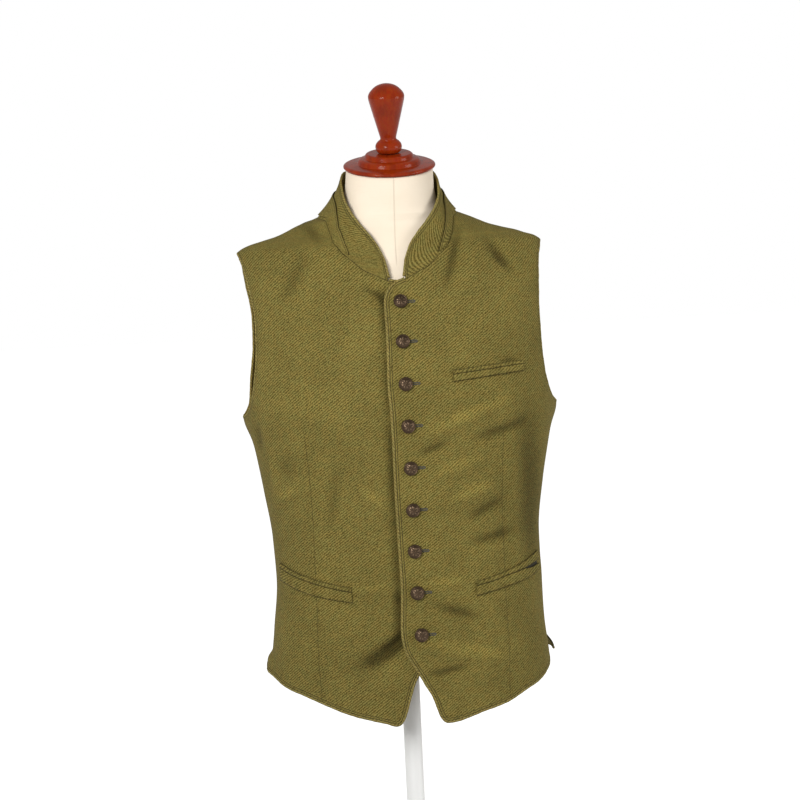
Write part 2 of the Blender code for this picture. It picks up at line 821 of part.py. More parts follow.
def tube(name, points, radius, finish_values, closed=False):
    curve = bpy.data.curves.new(name, "CURVE")
    curve.dimensions = "3D"
    curve.bevel_depth = radius
    curve.bevel_resolution = 1
    curve.use_fill_caps = True
    spline = curve.splines.new("POLY")
    spline.points.add(len(points) - 1)
    for slot, point in zip(spline.points, points):
        slot.co = (*point, 1.0)
    spline.use_cyclic_u = closed
    return place(bpy.data.objects.new(name, curve), finish_values)


def scaled(shape, radius, height):
    return [(radius * across, height * up) for across, up in shape]


def turned(name, profile, sides, finish_values):
    """A solid of revolution about its own Z axis."""
    mesh = bpy.data.meshes.new(name)
    points = [(radius, 0.0, z) for radius, z in profile]
    mesh.from_pydata(points, [(i, i + 1) for i in range(len(points) - 1)], [])
    obj = bpy.data.objects.new(name, mesh)
    screw = obj.modifiers.new("turn", "SCREW")
    screw.steps = sides
    screw.render_steps = sides
    screw.use_merge_vertices = True
    screw.merge_threshold = 0.00005
    screw.use_smooth_shade = True
    return place(obj, finish_values)


# Cloth panels

PANELS = {}
GRIDS = {}
NECK_ROW = {"front": len(FRONT_EDGE_ROWS) - 1, "back": len(BACK_MIDDLE_ROWS) - 1}
UNDERARM_ROW = len(SIDE_SEAM_ROWS) - 1


def cloth_rows(side, edges, columns, shares, cloth):
    """Points of one side's cloth, from the inner edge to the side, for each row from the hem up."""
    rows = []
    for domain_row in panel_domain(edges, columns, shares):
        rows.append([cloth(side, side * turn, z) for turn, z in domain_row])
    return rows


def make_panel(name, sheets):
    """A panel, with its grids of points and ways out for what is sewn to it."""
    panel, numbered = sheet_mesh(name, sheets, CLOTH_WALL, OLIVE_CLOTH)
    PANELS[name] = panel
    known = [(v.co.copy(), v.normal.copy()) for v in panel.data.vertices]
    return [[[known[n] for n in line] for line in numbers] for numbers in numbered]


def make_fronts():
    for name, side, columns in (("front_left", 1, LAP_COLUMNS), ("front_right", -1, UNDER_COLUMNS)):
        edges = front_edges(side)
        shares = inner_shares(edges["inner"], len(LAP_EDGE), FRONT_EDGE_ROWS, NECKLINE_ROWS)
        GRIDS[name] = make_panel(name, [cloth_rows(side, edges, columns, shares, front_cloth)])[0]


def make_back():
    """The back in one piece, as two grids from its middle to the sides."""
    edges = back_edges()
    shares = inner_shares(edges["inner"], len(CENTRE_BACK_HEIGHTS), BACK_MIDDLE_ROWS, BACK_NECK_ROWS)
    halves = [cloth_rows(side, edges, BACK_COLUMNS, shares, back_cloth) for side in (1, -1)]
    GRIDS["back_left"], GRIDS["back_right"] = make_panel("back", halves)


# Bindings along the free edges


def beside(line, hole, reach, closed=False):
    """Line of an edge moved aside in the cloth towards a point of the open side, and the ways out."""
    count = len(line)
    moved = []
    for i, (point, out) in enumerate(line):
        before = line[(i - 1) % count][0] if closed or i > 0 else None
        after = line[(i + 1) % count][0] if closed or i < count - 1 else None
        sides = []
        if before is not None:
            sides.append((point - before).cross(out).normalized())
        if after is not None:
            sides.append((after - point).cross(out).normalized())
        aside = sum(sides, Vector()).normalized()
        mitre = 1.0 / max(aside.dot(sides[0]), MITRE_LIMIT)
        moved.append((point, out, aside, mitre))
    middle = moved[count // 2]
    sign = math.copysign(1.0, (hole - middle[0]).dot(middle[2]))
    return [(point + aside * (sign * reach * mitre), out) for point, out, aside, mitre in moved]


def evened(line, closed):
    """The line with each way out shared with its neighbours."""
    last = len(line) - 1
    shared = []
    for i, (point, out) in enumerate(line):
        before = line[i - 1][1] if closed or i > 0 else out
        after = line[(i + 1) % (last + 1)][1] if closed or i < last else out
        shared.append((point, (before + out * 2.0 + after).normalized()))
    return shared


def binding(name, line, hole, closed=False):
    centre = beside(evened(line, closed), hole, BINDING_RADIUS + BINDING_GAP, closed)
    path = [point + out * (0.5 * CLOTH_WALL) for point, out in centre]
    tube(name, path, BINDING_RADIUS, OLIVE_BINDING, closed)


def mirrored(point, side):
    return Vector((side * point.x, point.y, point.z))


def between(first, second):
    return (first[0].lerp(second[0], 0.5), (first[1] + second[1]).normalized())


def make_bindings():
    hems = []
    for word, side in (("left", 1), ("right", -1)):
        front, back = GRIDS[f"front_{word}"], GRIDS[f"back_{word}"]
        edge = [row[0] for row in front[: NECK_ROW["front"] + 1]]
        edge[-1] = between(edge[-1], edge[-2])
        binding(f"binding_front_{word}", list(reversed(front[0][1:])) + edge, NOTCH)
        front_armhole = [row[-1] for row in front[UNDERARM_ROW:]]
        back_armhole = [row[-1] for row in back[UNDERARM_ROW:]]
        ring = [between(front_armhole[0], back_armhole[0])] + front_armhole[1:-1]
        ring += [between(front_armhole[-1], back_armhole[-1])] + list(reversed(back_armhole[1:-1]))
        binding(f"binding_armhole_{word}", ring, mirrored(ARMHOLE_MIDDLE, side), closed=True)
        hems.append(back[0])
    hem = list(reversed(hems[0]))[:-1] + [between(hems[0][0], hems[1][0])] + hems[1][1:]
    binding("binding_back", hem, BELOW_BACK)


# Collar


def neckline(word):
    """Neck edge of one side's panels from the throat to the centre back, with each stretch halved."""
    front, back = GRIDS[f"front_{word}"], GRIDS[f"back_{word}"]
    corners = [row[0] for row in front[NECK_ROW["front"]:-1]]
    corners.append(between(front[-1][0], back[-1][0]))
    corners += [row[0] for row in reversed(back[NECK_ROW["back"]:-1])]
    line = [corners[0]]
    for corner in corners[1:]:
        line += [between(line[-1], corner), corner]
    return line


def collar_columns(side, line):
    """Columns of the stand on one side, each from its foot to its top."""
    shifted = [(side * x + COLLAR_SHIFT * fade(z, *COLLAR_SHIFTS), y, z) for x, y, z in COLLAR_TOP]
    top_line = Route(shifted, lambda *c: Vector(c))
    foot_line = Route([tuple(point) for point, out in line], lambda *c: Vector(c))
    hole_line = beside(line, NECK_MIDDLE, 1.0)
    columns = []
    for i, share in enumerate(foot_line.shares):
        foot, panel_out = line[i]
        top = Vector(top_line.at(share))
        into_hole = (hole_line[i][0] - foot).normalized()
        along = panel_out.cross(into_hole)
        collar_out = along.cross(top - foot).normalized()
        if collar_out.dot(away_from_axis(foot - COLLAR_HEART)) < 0.0:
            collar_out.negate()
        clear = SEAM_GAP + max(0.0, -CLOTH_WALL * collar_out.dot(into_hole)) + COLLAR_CLEAR
        foot = foot + into_hole * clear
        column = []
        round_side = fade(share, *COLLAR_BELLY_TURNS)
        fullness = COLLAR_BELLY_FRONT + (COLLAR_BELLY_SIDE - COLLAR_BELLY_FRONT) * round_side
        for j in range(COLLAR_ROWS + 1):
            up_share = j / COLLAR_ROWS
            belly = fullness * math.sin(math.pi * up_share)
            column.append(foot.lerp(top, up_share) + collar_out * belly)
        columns.append(column)
    return columns


def make_collar():
    left, right = collar_columns(1, neckline("left")), collar_columns(-1, neckline("right"))
    columns = left + list(reversed(right))[1:]
    rows = [[column[j] for column in columns] for j in range(COLLAR_ROWS + 1)]
    sheet_mesh("collar_stand", [rows], CLOTH_WALL, OLIVE_CLOTH)
    make_collar_band(columns)
    make_collar_binding(columns)


def stand_out(columns, i, j):
    """Way out of the stand at one of its points."""
    last_column, last_row = len(columns) - 1, COLLAR_ROWS
    across = columns[min(i + 1, last_column)][j] - columns[max(i - 1, 0)][j]
    up = columns[i][min(j + 1, last_row)] - columns[i][max(j - 1, 0)]
    out = across.cross(up).normalized()
    if out.dot(away_from_axis(columns[i][j] - COLLAR_HEART)) < 0.0:
        out.negate()
    return out


def make_collar_band(columns):
    top = Table(BAND_COLUMNS, BAND_TOP)
    foot = Route([tuple(column[0]) for column in columns], lambda *c: Vector(c))
    lines = []
    for i, column in enumerate(columns):
        along = 1.0 - abs(2.0 * foot.shares[i] - 1.0)
        if along < BAND_TOP[0][0]:
            continue
        low = BAND_FOOT / (column[-1] - column[0]).length
        high = max(top.at(along, "up"), low + BAND_LEAST)
        line = []
        for j in range(3):
            up = (low + (high - low) * j / 2) * COLLAR_ROWS
            row = min(int(up), COLLAR_ROWS - 1)
            point = column[row].lerp(column[row + 1], up - row)
            out = stand_out(columns, i, row).lerp(stand_out(columns, i, row + 1), up - row)
            line.append(point + out.normalized() * (CLOTH_WALL + LAYER_GAP))
        lines.append(line)
    rows = [[line[j] for line in lines] for j in range(3)]
    sheet_mesh("collar_band", [rows], WELT_WALL, OLIVE_CLOTH)


def make_collar_binding(columns):
    """Binding up one throat end, round the top edge and down the other end."""
    last = len(columns) - 1
    start = [(columns[0][j], stand_out(columns, 0, j)) for j in range(COLLAR_ROWS)]
    top = [(column[-1], stand_out(columns, i, COLLAR_ROWS)) for i, column in enumerate(columns)]
    end = [(columns[last][j], stand_out(columns, last, j)) for j in reversed(range(COLLAR_ROWS))]
    line = start[1:] + top + end[:-1]
    binding("binding_collar", line, ABOVE_COLLAR)


# What lies on the fronts


def outer_face(obj):
    """The finished surface of a panel, to lay pieces on."""
    graph = bpy.context.evaluated_depsgraph_get()
    mesh = obj.evaluated_get(graph).to_mesh()
    points = [obj.matrix_world @ v.co for v in mesh.vertices]
    faces = [tuple(p.vertices) for p in mesh.polygons]
    return BVHTree.FromPolygons(points, faces)


def on_face(face, x, z):
    """Point of a front's outer face that shows at x and z, and the way out there."""
    turn = turn_at(x, z)
    out = way_out(turn, z)
    start = bare_body(turn, z) + out * FAR_OUTSIDE
    hit, normal, index, distance = face.ray_cast(start, -out)
    return hit, out


def make_strip(name, face, side, table, low, high, drop):
    """A strip on a front between two named columns of a pocket table."""
    first, last = table.keys[0], table.keys[-1]
    lines = []
    for j in range(3):
        line = []
        for i in range(POCKET_STEPS + 1):
            own = first + (last - first) * i / POCKET_STEPS
            z_low = table.at(own, low[0]) + low[1]
            z_high = table.at(own, high[0]) + high[1] - drop(i / POCKET_STEPS)
            point, out = on_face(face, side * own, z_low + (z_high - z_low) * j / 2)
            line.append(point + out * WELT_GAP)
        lines.append(line)
    sheet_mesh(name, [lines], WELT_WALL, OLIVE_CLOTH)


def make_pockets():
    bpy.context.view_layer.update()
    left, right = outer_face(PANELS["front_left"]), outer_face(PANELS["front_right"])
    half = 0.5 * POCKET_MOUTH
    pockets = (
        ("pocket_chest", left, 1, CHEST_POCKET, 0.0),
        ("pocket_left", left, 1, LOWER_POCKET_LEFT, POCKET_GAPE),
        ("pocket_right", right, -1, LOWER_POCKET_RIGHT, 0.0),
    )
    for name, face, side, rows, gape in pockets:
        table = Table(POCKET_COLUMNS, rows)

        def drop(share, gape=gape):
            return gape * fade(share, *POCKET_GAPES)

        make_strip(f"{name}_welt", face, side, table, ("foot", 0.0), ("mouth", -half), drop)
        make_strip(f"{name}_jet", face, side, table, ("mouth", half), ("jet_top", 0.0), lambda share: 0.0)


def make_buttons():
    face = outer_face(PANELS["front_left"])
    for number, (x, z) in enumerate(BUTTONS, start=1):
        point, out = on_face(face, x, z)
        profile = scaled(BUTTON_SHAPE, BUTTON_RADIUS, BUTTON_HEIGHT)
        button = turned(f"button_{number}", profile, BUTTON_SIDES, BRONZE)
        button.location = point + out * LAYER_GAP
        button.rotation_euler = out.to_track_quat("Z", "Y").to_euler()


# Dress form


def form_ease(z):
    low, high = FORM_EASE_FADES
    return FORM_EASE_BODY + (FORM_EASE_SHOULDER - FORM_EASE_BODY) * fade(z, low, high)


def form_ring(z):
    ease = form_ease(z)
    side_ease = ease + SHOULDER_DROP * fade(z, 0.700, 0.730)
    half = min(BODY.at(z, "half_width") - side_ease, FORM_SHOULDER_HALF)
    front, back = BODY.at(z, "front") - ease, BODY.at(z, "back") - ease
    ring = []
    for i in range(FORM_SIDES):
        s, c = oval(360.0 * i / FORM_SIDES, BODY.at(z, "power"))
        x = BODY.at(z, "centre_x") + half * s
        ring.append(Vector((x, BODY.at(z, "centre_y") - (front if c > 0.0 else back) * c, z)))
    return ring


def neck_ring(z, centre_x, centre_y, half_width, half_depth, tilt):
    ring = []
    for i in range(FORM_SIDES):
        turn = math.radians(360.0 * i / FORM_SIDES)
        forward = half_depth * math.cos(turn)
        x = centre_x + half_width * math.sin(turn)
        ring.append(Vector((x, centre_y - forward * math.cos(tilt), z - forward * math.sin(tilt))))
    return ring


def make_form():
    rings = [form_ring(z) for z in FORM_HEIGHTS]
    for z, centre_x, centre_y, half_width, half_depth, tilt in NECK_RINGS:
        rings.append(neck_ring(z, centre_x, centre_y, half_width, half_depth, math.radians(tilt)))
    top = CAP_CENTRE
    tilt = math.radians(CAP_TILT)
    rings.append(neck_ring(top.z, top.x, top.y, NECK_TOP_HALF_WIDTH, NECK_TOP_HALF_DEPTH, tilt))
    points = [p for ring in rings for p in ring]
    faces = []
    for j in range(len(rings) - 1):
        for i in range(FORM_SIDES):
            a, b = j * FORM_SIDES + i, j * FORM_SIDES + (i + 1) % FORM_SIDES
            faces.append((a, b, b + FORM_SIDES, a + FORM_SIDES))
    faces.append(tuple(reversed(range(FORM_SIDES))))
    faces.append(tuple(range((len(rings) - 1) * FORM_SIDES, len(rings) * FORM_SIDES)))
    mesh = bpy.data.meshes.new("form_torso")
    mesh.from_pydata([tuple(p) for p in points], [], faces)
    shell = bmesh.new()
    shell.from_mesh(mesh)
    bmesh.ops.recalc_face_normals(shell, faces=shell.faces)
    shell.to_mesh(mesh)
    shell.free()
    mesh.shade_smooth()
    place(bpy.data.objects.new("form_torso", mesh), LINEN)


def make_head():
    crown = bpy.data.objects.new("crown", None)
    bpy.data.collections[COLLECTION].objects.link(crown)
    crown.location = CAP_CENTRE
    crown.rotation_euler = (math.radians(CAP_TILT), 0.0, 0.0)
    cap = turned("neck_cap", scaled(CAP_SHAPE, CAP_RADIUS, CAP_HEIGHT), CAP_SIDES, MAHOGANY)
    cap.parent = crown
    cap.location.z = PART_GAP
    finial = turned("finial", scaled(FINIAL_SHAPE, FINIAL_RADIUS, FINIAL_HEIGHT), FINIAL_SIDES, MAHOGANY)
    finial.parent = crown
    lean = math.radians(FINIAL_LEAN)
    foot_radius = FINIAL_SHAPE[-2][0] * FINIAL_RADIUS
    finial.rotation_euler = (0.0, -lean, 0.0)
    finial.location.z = CAP_HEIGHT + 2.0 * PART_GAP + foot_radius * math.sin(lean)


def make_stand():
    """Pole with its socket and the round base plate, turned in one."""
    head = FORM_BOTTOM - PART_GAP
    socket = BASE_HEIGHT + SOCKET_HEIGHT
    profile = [
        (0.0, head),
        (POLE_RADIUS, head),
        (POLE_RADIUS, socket),
        (SOCKET_RADIUS, socket),
        (SOCKET_RADIUS, BASE_HEIGHT),
    ]
    turned("form_stand", profile + scaled(BASE_SHAPE, BASE_RADIUS, BASE_HEIGHT), BASE_SIDES, WHITE_PAINT)


def main():
    for obj in list(bpy.data.objects):
        bpy.data.objects.remove(obj, do_unlink=True)
    collection = bpy.data.collections.new(COLLECTION)
    bpy.context.scene.collection.children.link(collection)
    make_fronts()
    make_back()
    make_bindings()
    make_collar()
    make_pockets()
    make_buttons()
    make_form()
    make_head()
    make_stand()


main()
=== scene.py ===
"""Stand-collar waistcoat worn by a limbless dress form with a turned neck cap and finial.

Metres, +Z up. The front faces -Y and the wearer's left side lies at +X, so left and right are the wearer's.
"""

import logging
import math
from collections.abc import Callable, Iterable, Sequence
from dataclasses import dataclass, field
from enum import Enum

import bpy
import numpy as np
from mathutils import Matrix, Vector
from mathutils.bvhtree import BVHTree


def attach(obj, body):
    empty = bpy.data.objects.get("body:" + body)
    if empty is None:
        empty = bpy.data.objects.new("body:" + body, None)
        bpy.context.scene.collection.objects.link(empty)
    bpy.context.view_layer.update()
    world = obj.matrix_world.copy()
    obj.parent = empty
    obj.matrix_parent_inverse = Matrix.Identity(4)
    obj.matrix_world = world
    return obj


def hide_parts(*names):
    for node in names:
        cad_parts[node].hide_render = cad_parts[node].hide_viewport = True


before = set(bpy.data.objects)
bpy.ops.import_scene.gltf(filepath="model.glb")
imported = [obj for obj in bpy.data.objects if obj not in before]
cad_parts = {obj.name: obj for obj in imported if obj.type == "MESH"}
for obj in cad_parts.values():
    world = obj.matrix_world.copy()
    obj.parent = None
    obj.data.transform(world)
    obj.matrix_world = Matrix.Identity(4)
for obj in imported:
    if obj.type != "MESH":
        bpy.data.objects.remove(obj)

LOG = logging.getLogger("waistcoat")
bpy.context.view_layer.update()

Grid = np.ndarray
Pair = tuple[float, float]
Place = tuple[float, float, float]
Colour = tuple[float, float, float]
Mark = tuple[float, float, float, float]

LEVEL = (1.0, 1.0, 0.0)
WHITE = (1.0, 1.0, 1.0)
TURN = 2.0 * math.pi
TINY = 1e-12
# Unit of the creases' height, kept as a mark that paints highlight on their ridges and shade in their
# troughs
FOLD_SHADE_UNIT = 0.001
FORM_COVER = "form_torso_cover"

# Cloth and seams
CLOTH_WALL = 0.0020
SEAM_GAP = 0.0006
LAYER_GAP = 0.0007
SIDE_SEAM = 93.0
SHOULDER_SEAM = 98.0
CENTRE_BACK = 180.0
SIDE_REACH = 0.125

# Unevenness of the bindings' rolls: share of their width, pace along them, start
ROLL_WAVER = ((0.05, 620.0, 0.0), (0.05, 287.0, 1.3))

# Heights of the corners of the garment
UNDERARM = 0.528
SHOULDER_TIP = 0.7255
NECK_POINT = 0.7615
SIDE_HEM = 0.231
BACK_SIDE_HEM = 0.229
BACK_HEM = 0.240
VENT_TOP = 0.252

# Rings of the body that the cloth lies on
RING_COLUMNS = ("z", "centre_x", "centre_y", "half_width", "front", "back", "power")
RINGS = (
    (0.140, 0.0000, 0.001, 0.1695, 0.1090, 0.1110, 2.50),
    (0.200, 0.0000, 0.001, 0.1685, 0.1095, 0.1110, 2.50),
    (0.235, 0.0015, 0.001, 0.1650, 0.1100, 0.1095, 2.50),
    (0.270, 0.0020, 0.001, 0.1610, 0.1105, 0.1050, 2.50),
    (0.330, 0.0045, 0.001, 0.1575, 0.1110, 0.0980, 2.50),
    (0.380, 0.0035, 0.001, 0.1585, 0.1120, 0.0960, 2.50),
    (0.440, 0.0030, 0.001, 0.1660, 0.1150, 0.1010, 2.50),
    (0.500, 0.0035, 0.001, 0.1760, 0.1180, 0.1100, 2.50),
    (0.530, 0.0030, 0.001, 0.1800, 0.1190, 0.1140, 2.50),
    (0.570, 0.0010, 0.001, 0.1810, 0.1180, 0.1170, 2.50),
    (0.620, 0.0018, 0.003, 0.1800, 0.1130, 0.1180, 2.50),
    (0.655, 0.0018, 0.005, 0.1804, 0.1050, 0.1150, 2.45),
    (0.687, 0.0006, 0.009, 0.1820, 0.0950, 0.1060, 2.30),
    (0.711, 0.0000, 0.011, 0.1818, 0.0820, 0.0990, 2.00),
    (0.724, 0.0000, 0.014, 0.1800, 0.0775, 0.0910, 1.75),
    (0.728, 0.0000, 0.015, 0.1750, 0.0770, 0.0890, 1.65),
    (0.732, -0.0010, 0.016, 0.1640, 0.0765, 0.0870, 1.60),
    (0.736, 0.0008, 0.017, 0.1512, 0.0765, 0.0850, 1.60),
    (0.740, 0.0005, 0.018, 0.1360, 0.0770, 0.0820, 1.60),
    (0.745, -0.0015, 0.018, 0.1215, 0.0770, 0.0790, 1.62),
    (0.750, -0.0022, 0.019, 0.1107, 0.0775, 0.0750, 1.65),
    (0.755, -0.0027, 0.020, 0.1002, 0.0780, 0.0710, 1.70),
    (0.760, -0.0008, 0.020, 0.0857, 0.0775, 0.0680, 1.75),
    (0.764, -0.0005, 0.020, 0.0755, 0.0770, 0.0660, 1.80),
    (0.7695, 0.0000, 0.020, 0.0620, 0.0765, 0.0640, 1.80),
)

# Free front edges seen from the front, x counted towards the wearer's own side of each front
LAP_EDGE = (
    (0.0315, 0.1713), (0.0285, 0.1755), (0.0200, 0.2000), (0.0112, 0.2160), (0.0042, 0.2290),
    (-0.0034, 0.2420), (-0.0090, 0.2530), (-0.0118, 0.2650), (-0.0128, 0.2850), (-0.0132, 0.4600),
    (-0.0140, 0.6350), (-0.0142, 0.6550), (-0.0125, 0.6665), (-0.0082, 0.6745), (0.0005, 0.6815),
)
UNDER_EDGE = (
    (0.0213, 0.1701), (0.0183, 0.1745), (0.0098, 0.2000), (0.0043, 0.2160), (-0.0027, 0.2290),
    (-0.0098, 0.2420), (-0.0159, 0.2530), (-0.0200, 0.2650), (-0.0215, 0.2850), (-0.0210, 0.4600),
    (-0.0190, 0.6350), (-0.0180, 0.6500), (-0.0155, 0.6640), (-0.0105, 0.6750), (-0.0040, 0.6820),
)
NECKLINE = (
    (0.0095, 0.6848), (0.0220, 0.6910), (0.0360, 0.6975), (0.0510, 0.7110), (0.0605, 0.7195),
    (0.0670, 0.7290), (0.0705, 0.7385), (0.0730, 0.7475), (0.0755, 0.7565),
)
NECKLINE_END = (80.0, 0.7603)

# Front hem: x, z on the wearer's left, z on the right
FRONT_HEM = (
    (0.0350, 0.1696, 0.1685), (0.0450, 0.1704, 0.1717), (0.0780, 0.1795, 0.1822),
    (0.1070, 0.1870, 0.1955), (0.1300, 0.1979, 0.2060), (0.1480, 0.2054, 0.2127),
    (0.1600, 0.2138, 0.2203), (0.1660, 0.2205, 0.2271),
)

# Armhole edges and the back neckline: turn, z
FRONT_ARMHOLE = (
    (85.0, 0.5300), (76.0, 0.5375), (68.5, 0.5510), (63.5, 0.5720), (61.2, 0.6020), (60.8, 0.6400),
    (62.5, 0.6680), (66.0, 0.6900), (72.0, 0.7070), (80.0, 0.7185), (89.0, 0.7245),
)
BACK_ARMHOLE = (
    (100.0, 0.5305), (106.5, 0.5390), (111.5, 0.5540), (115.0, 0.5780), (117.5, 0.6080),
    (118.0, 0.6400), (116.0, 0.6680), (112.5, 0.6900), (108.0, 0.7060), (104.0, 0.7170),
    (100.5, 0.7235),
)
BACK_NECKLINE = ((CENTRE_BACK, 0.7695), (158.0, 0.7688), (135.0, 0.7672), (115.0, 0.7644))
CENTRE_BACK_HEIGHTS = (BACK_HEM, 0.40, 0.60, 0.72)
FRONT_SEAM_HEIGHTS = (SIDE_HEM, 0.30, 0.40, UNDERARM)
SHOULDER_HEIGHTS = (NECK_POINT, 0.7550, 0.7450, 0.7360, SHOULDER_TIP)
BACK_HEM_POINTS = ((150.0, BACK_HEM), (120.0, 0.2360))
VENT_OPENS = ((0.9, BACK_SIDE_HEM), (0.6, VENT_TOP), (0.0, 0.30), (0.0, UNDERARM))

# Rows of the panels, as shares of each edge from the hem up, and their columns
FRONT_EDGE_ROWS = (
    0.000, 0.013, 0.045, 0.085, 0.122, 0.155, 0.190, 0.230, 0.310, 0.395, 0.480, 0.565, 0.650,
    0.730, 0.805, 0.870, 0.925, 0.967, 1.000,
)
NECKLINE_ROWS = (0.12, 0.26, 0.41, 0.55, 0.68, 0.80, 0.91, 1.0)
BACK_MIDDLE_ROWS = (
    0.000, 0.025, 0.055, 0.090, 0.130, 0.170, 0.215, 0.265, 0.310, 0.355, 0.400, 0.440, 0.480,
    0.570, 0.665, 0.755, 0.830, 0.885, 0.940, 1.000,
)
BACK_NECK_ROWS = (0.18, 0.35, 0.50, 0.64, 0.77, 0.89, 1.0)
SIDE_SEAM_ROWS = (0.0, 0.05, 0.11, 0.18, 0.26, 0.34, 0.43, 0.53, 0.63, 0.73, 0.83, 0.92, 1.0)
ARMHOLE_ROWS = (0.05, 0.11, 0.18, 0.26, 0.34, 0.43, 0.52, 0.61, 0.70, 0.78, 0.85, 0.91, 0.96, 1.0)
LAP_COLUMNS = (0.0, 0.035, 0.08, 0.13, 0.19, 0.26, 0.34, 0.42, 0.50, 0.58, 0.66, 0.74, 0.82, 0.91, 1.0)
UNDER_COLUMNS = (
    0.00, 0.07, 0.13, 0.165, 0.20, 0.235, 0.28, 0.35, 0.43, 0.51, 0.59, 0.67, 0.75, 0.83, 0.92, 1.00,
)
BACK_COLUMNS = (0.0, 0.09, 0.18, 0.27, 0.36, 0.45, 0.54, 0.63, 0.72, 0.81, 0.90, 1.0)

# Long front darts, seen from the front on the wearer's own side: x, z
DART = (
    (0.1160, 0.5150), (0.1120, 0.4600), (0.1100, 0.3900), (0.1100, 0.3200), (0.1115, 0.2500),
    (0.1100, 0.1950),
)

# Top edge of the collar stand from the throat to the centre back: x, y, z
COLLAR_TOP = (
    (0.0148, -0.0735, 0.7105), (0.0220, -0.0645, 0.7265), (0.0308, -0.0600, 0.7390),
    (0.0407, -0.0535, 0.7510), (0.0515, -0.0420, 0.7680), (0.0563, -0.0250, 0.7830),
    (0.0572, -0.0040, 0.7985), (0.0548, 0.0180, 0.8080), (0.0500, 0.0370, 0.8130),
    (0.0390, 0.0530, 0.8155), (0.0210, 0.0630, 0.8165), (0.0000, 0.0660, 0.8170),
)

# Top edge of the collar band: share of the way from the throat to the centre back, share of the stand
BAND_TOP = (
    (0.190, 0.04), (0.235, 0.25), (0.300, 0.43), (0.400, 0.58), (0.550, 0.66), (0.800, 0.64),
    (1.000, 0.63),
)

# Welt pockets seen from the front, on the wearer's own side: x, mouth, foot, top of the upper welt
POCKET_COLUMNS = ("x", "mouth", "foot", "top")
LOWER_POCKET_RIGHT = (
    (0.0700, 0.3262, 0.3138, 0.3305),
    (0.0900, 0.3305, 0.3170, 0.3350),
    (0.1120, 0.3365, 0.3215, 0.3412),
    (0.1330, 0.3440, 0.3290, 0.3490),
    (0.1480, 0.3520, 0.3365, 0.3575),
)
LOWER_POCKET_LEFT = (
    (0.0750, 0.3262, 0.3140, 0.3302),
    (0.0950, 0.3300, 0.3180, 0.3345),
    (0.1150, 0.3350, 0.3220, 0.3402),
    (0.1370, 0.3400, 0.3270, 0.3480),
    (0.1540, 0.3450, 0.3330, 0.3560),
)
CHEST_POCKET = (
    (0.0585, 0.5745, 0.5663, 0.5785),
    (0.0860, 0.5772, 0.5690, 0.5812),
    (0.1140, 0.5795, 0.5715, 0.5832),
    (0.1420, 0.5815, 0.5735, 0.5848),
)

# Buttons seen from the front: x, z
BUTTONS = (
    (0.0022, 0.6594), (0.0018, 0.6145), (0.0022, 0.5665), (0.0030, 0.5180), (0.0038, 0.4690),
    (0.0042, 0.4200), (0.0042, 0.3715), (0.0050, 0.3225), (0.0077, 0.2730),
)

# Turned outlines from the top down, as shares of the radius and of the height
CAP_SHAPE = (
    (0.000, 1.000), (0.476, 1.000), (0.518, 0.902), (0.527, 0.710), (0.618, 0.667), (0.669, 0.574),
    (0.684, 0.350), (0.945, 0.306), (0.993, 0.240), (1.000, 0.142), (0.973, 0.033), (0.909, 0.000),
    (0.000, 0.000),
)
FINIAL_SHAPE = (
    (0.000, 1.000), (0.200, 0.996), (0.399, 0.982), (0.560, 0.962), (0.704, 0.935), (0.915, 0.875),
    (1.000, 0.827), (0.972, 0.762), (0.775, 0.560), (0.587, 0.369), (0.437, 0.220), (0.441, 0.190),
    (0.587, 0.164), (0.704, 0.125), (0.737, 0.083), (0.695, 0.036), (0.587, 0.000), (0.000, 0.000),
)
BUTTON_SHAPE = (
    (0.00, 1.00), (0.14, 0.99), (0.28, 0.965), (0.42, 0.92), (0.54, 0.86), (0.66, 0.77), (0.74, 0.68),
    (0.79, 0.60), (0.83, 0.60), (0.88, 0.68), (0.94, 0.66), (0.99, 0.52), (1.00, 0.36), (0.97, 0.20),
    (0.90, 0.10), (0.00, 0.00),
)
BASE_SHAPE = (
    (0.967, 1.000), (0.990, 0.900), (1.000, 0.650), (1.000, 0.000), (0.000, 0.000),
)


class Side(Enum):
    """Side of the wearer."""

    LEFT = 1
    RIGHT = -1

    @property
    def word(self) -> str:
        """The side in lower case, as in node names."""
        return self.name.lower()


class Slot(Enum):
    """Finish slots of the part."""

    CLOTH = "cloth"
    BINDING = "cloth_binding"
    METAL = "button_metal"
    COVER = "form_cover"
    WOOD = "turned_wood"
    PAINT = "stand_paint"


# Curves through tables


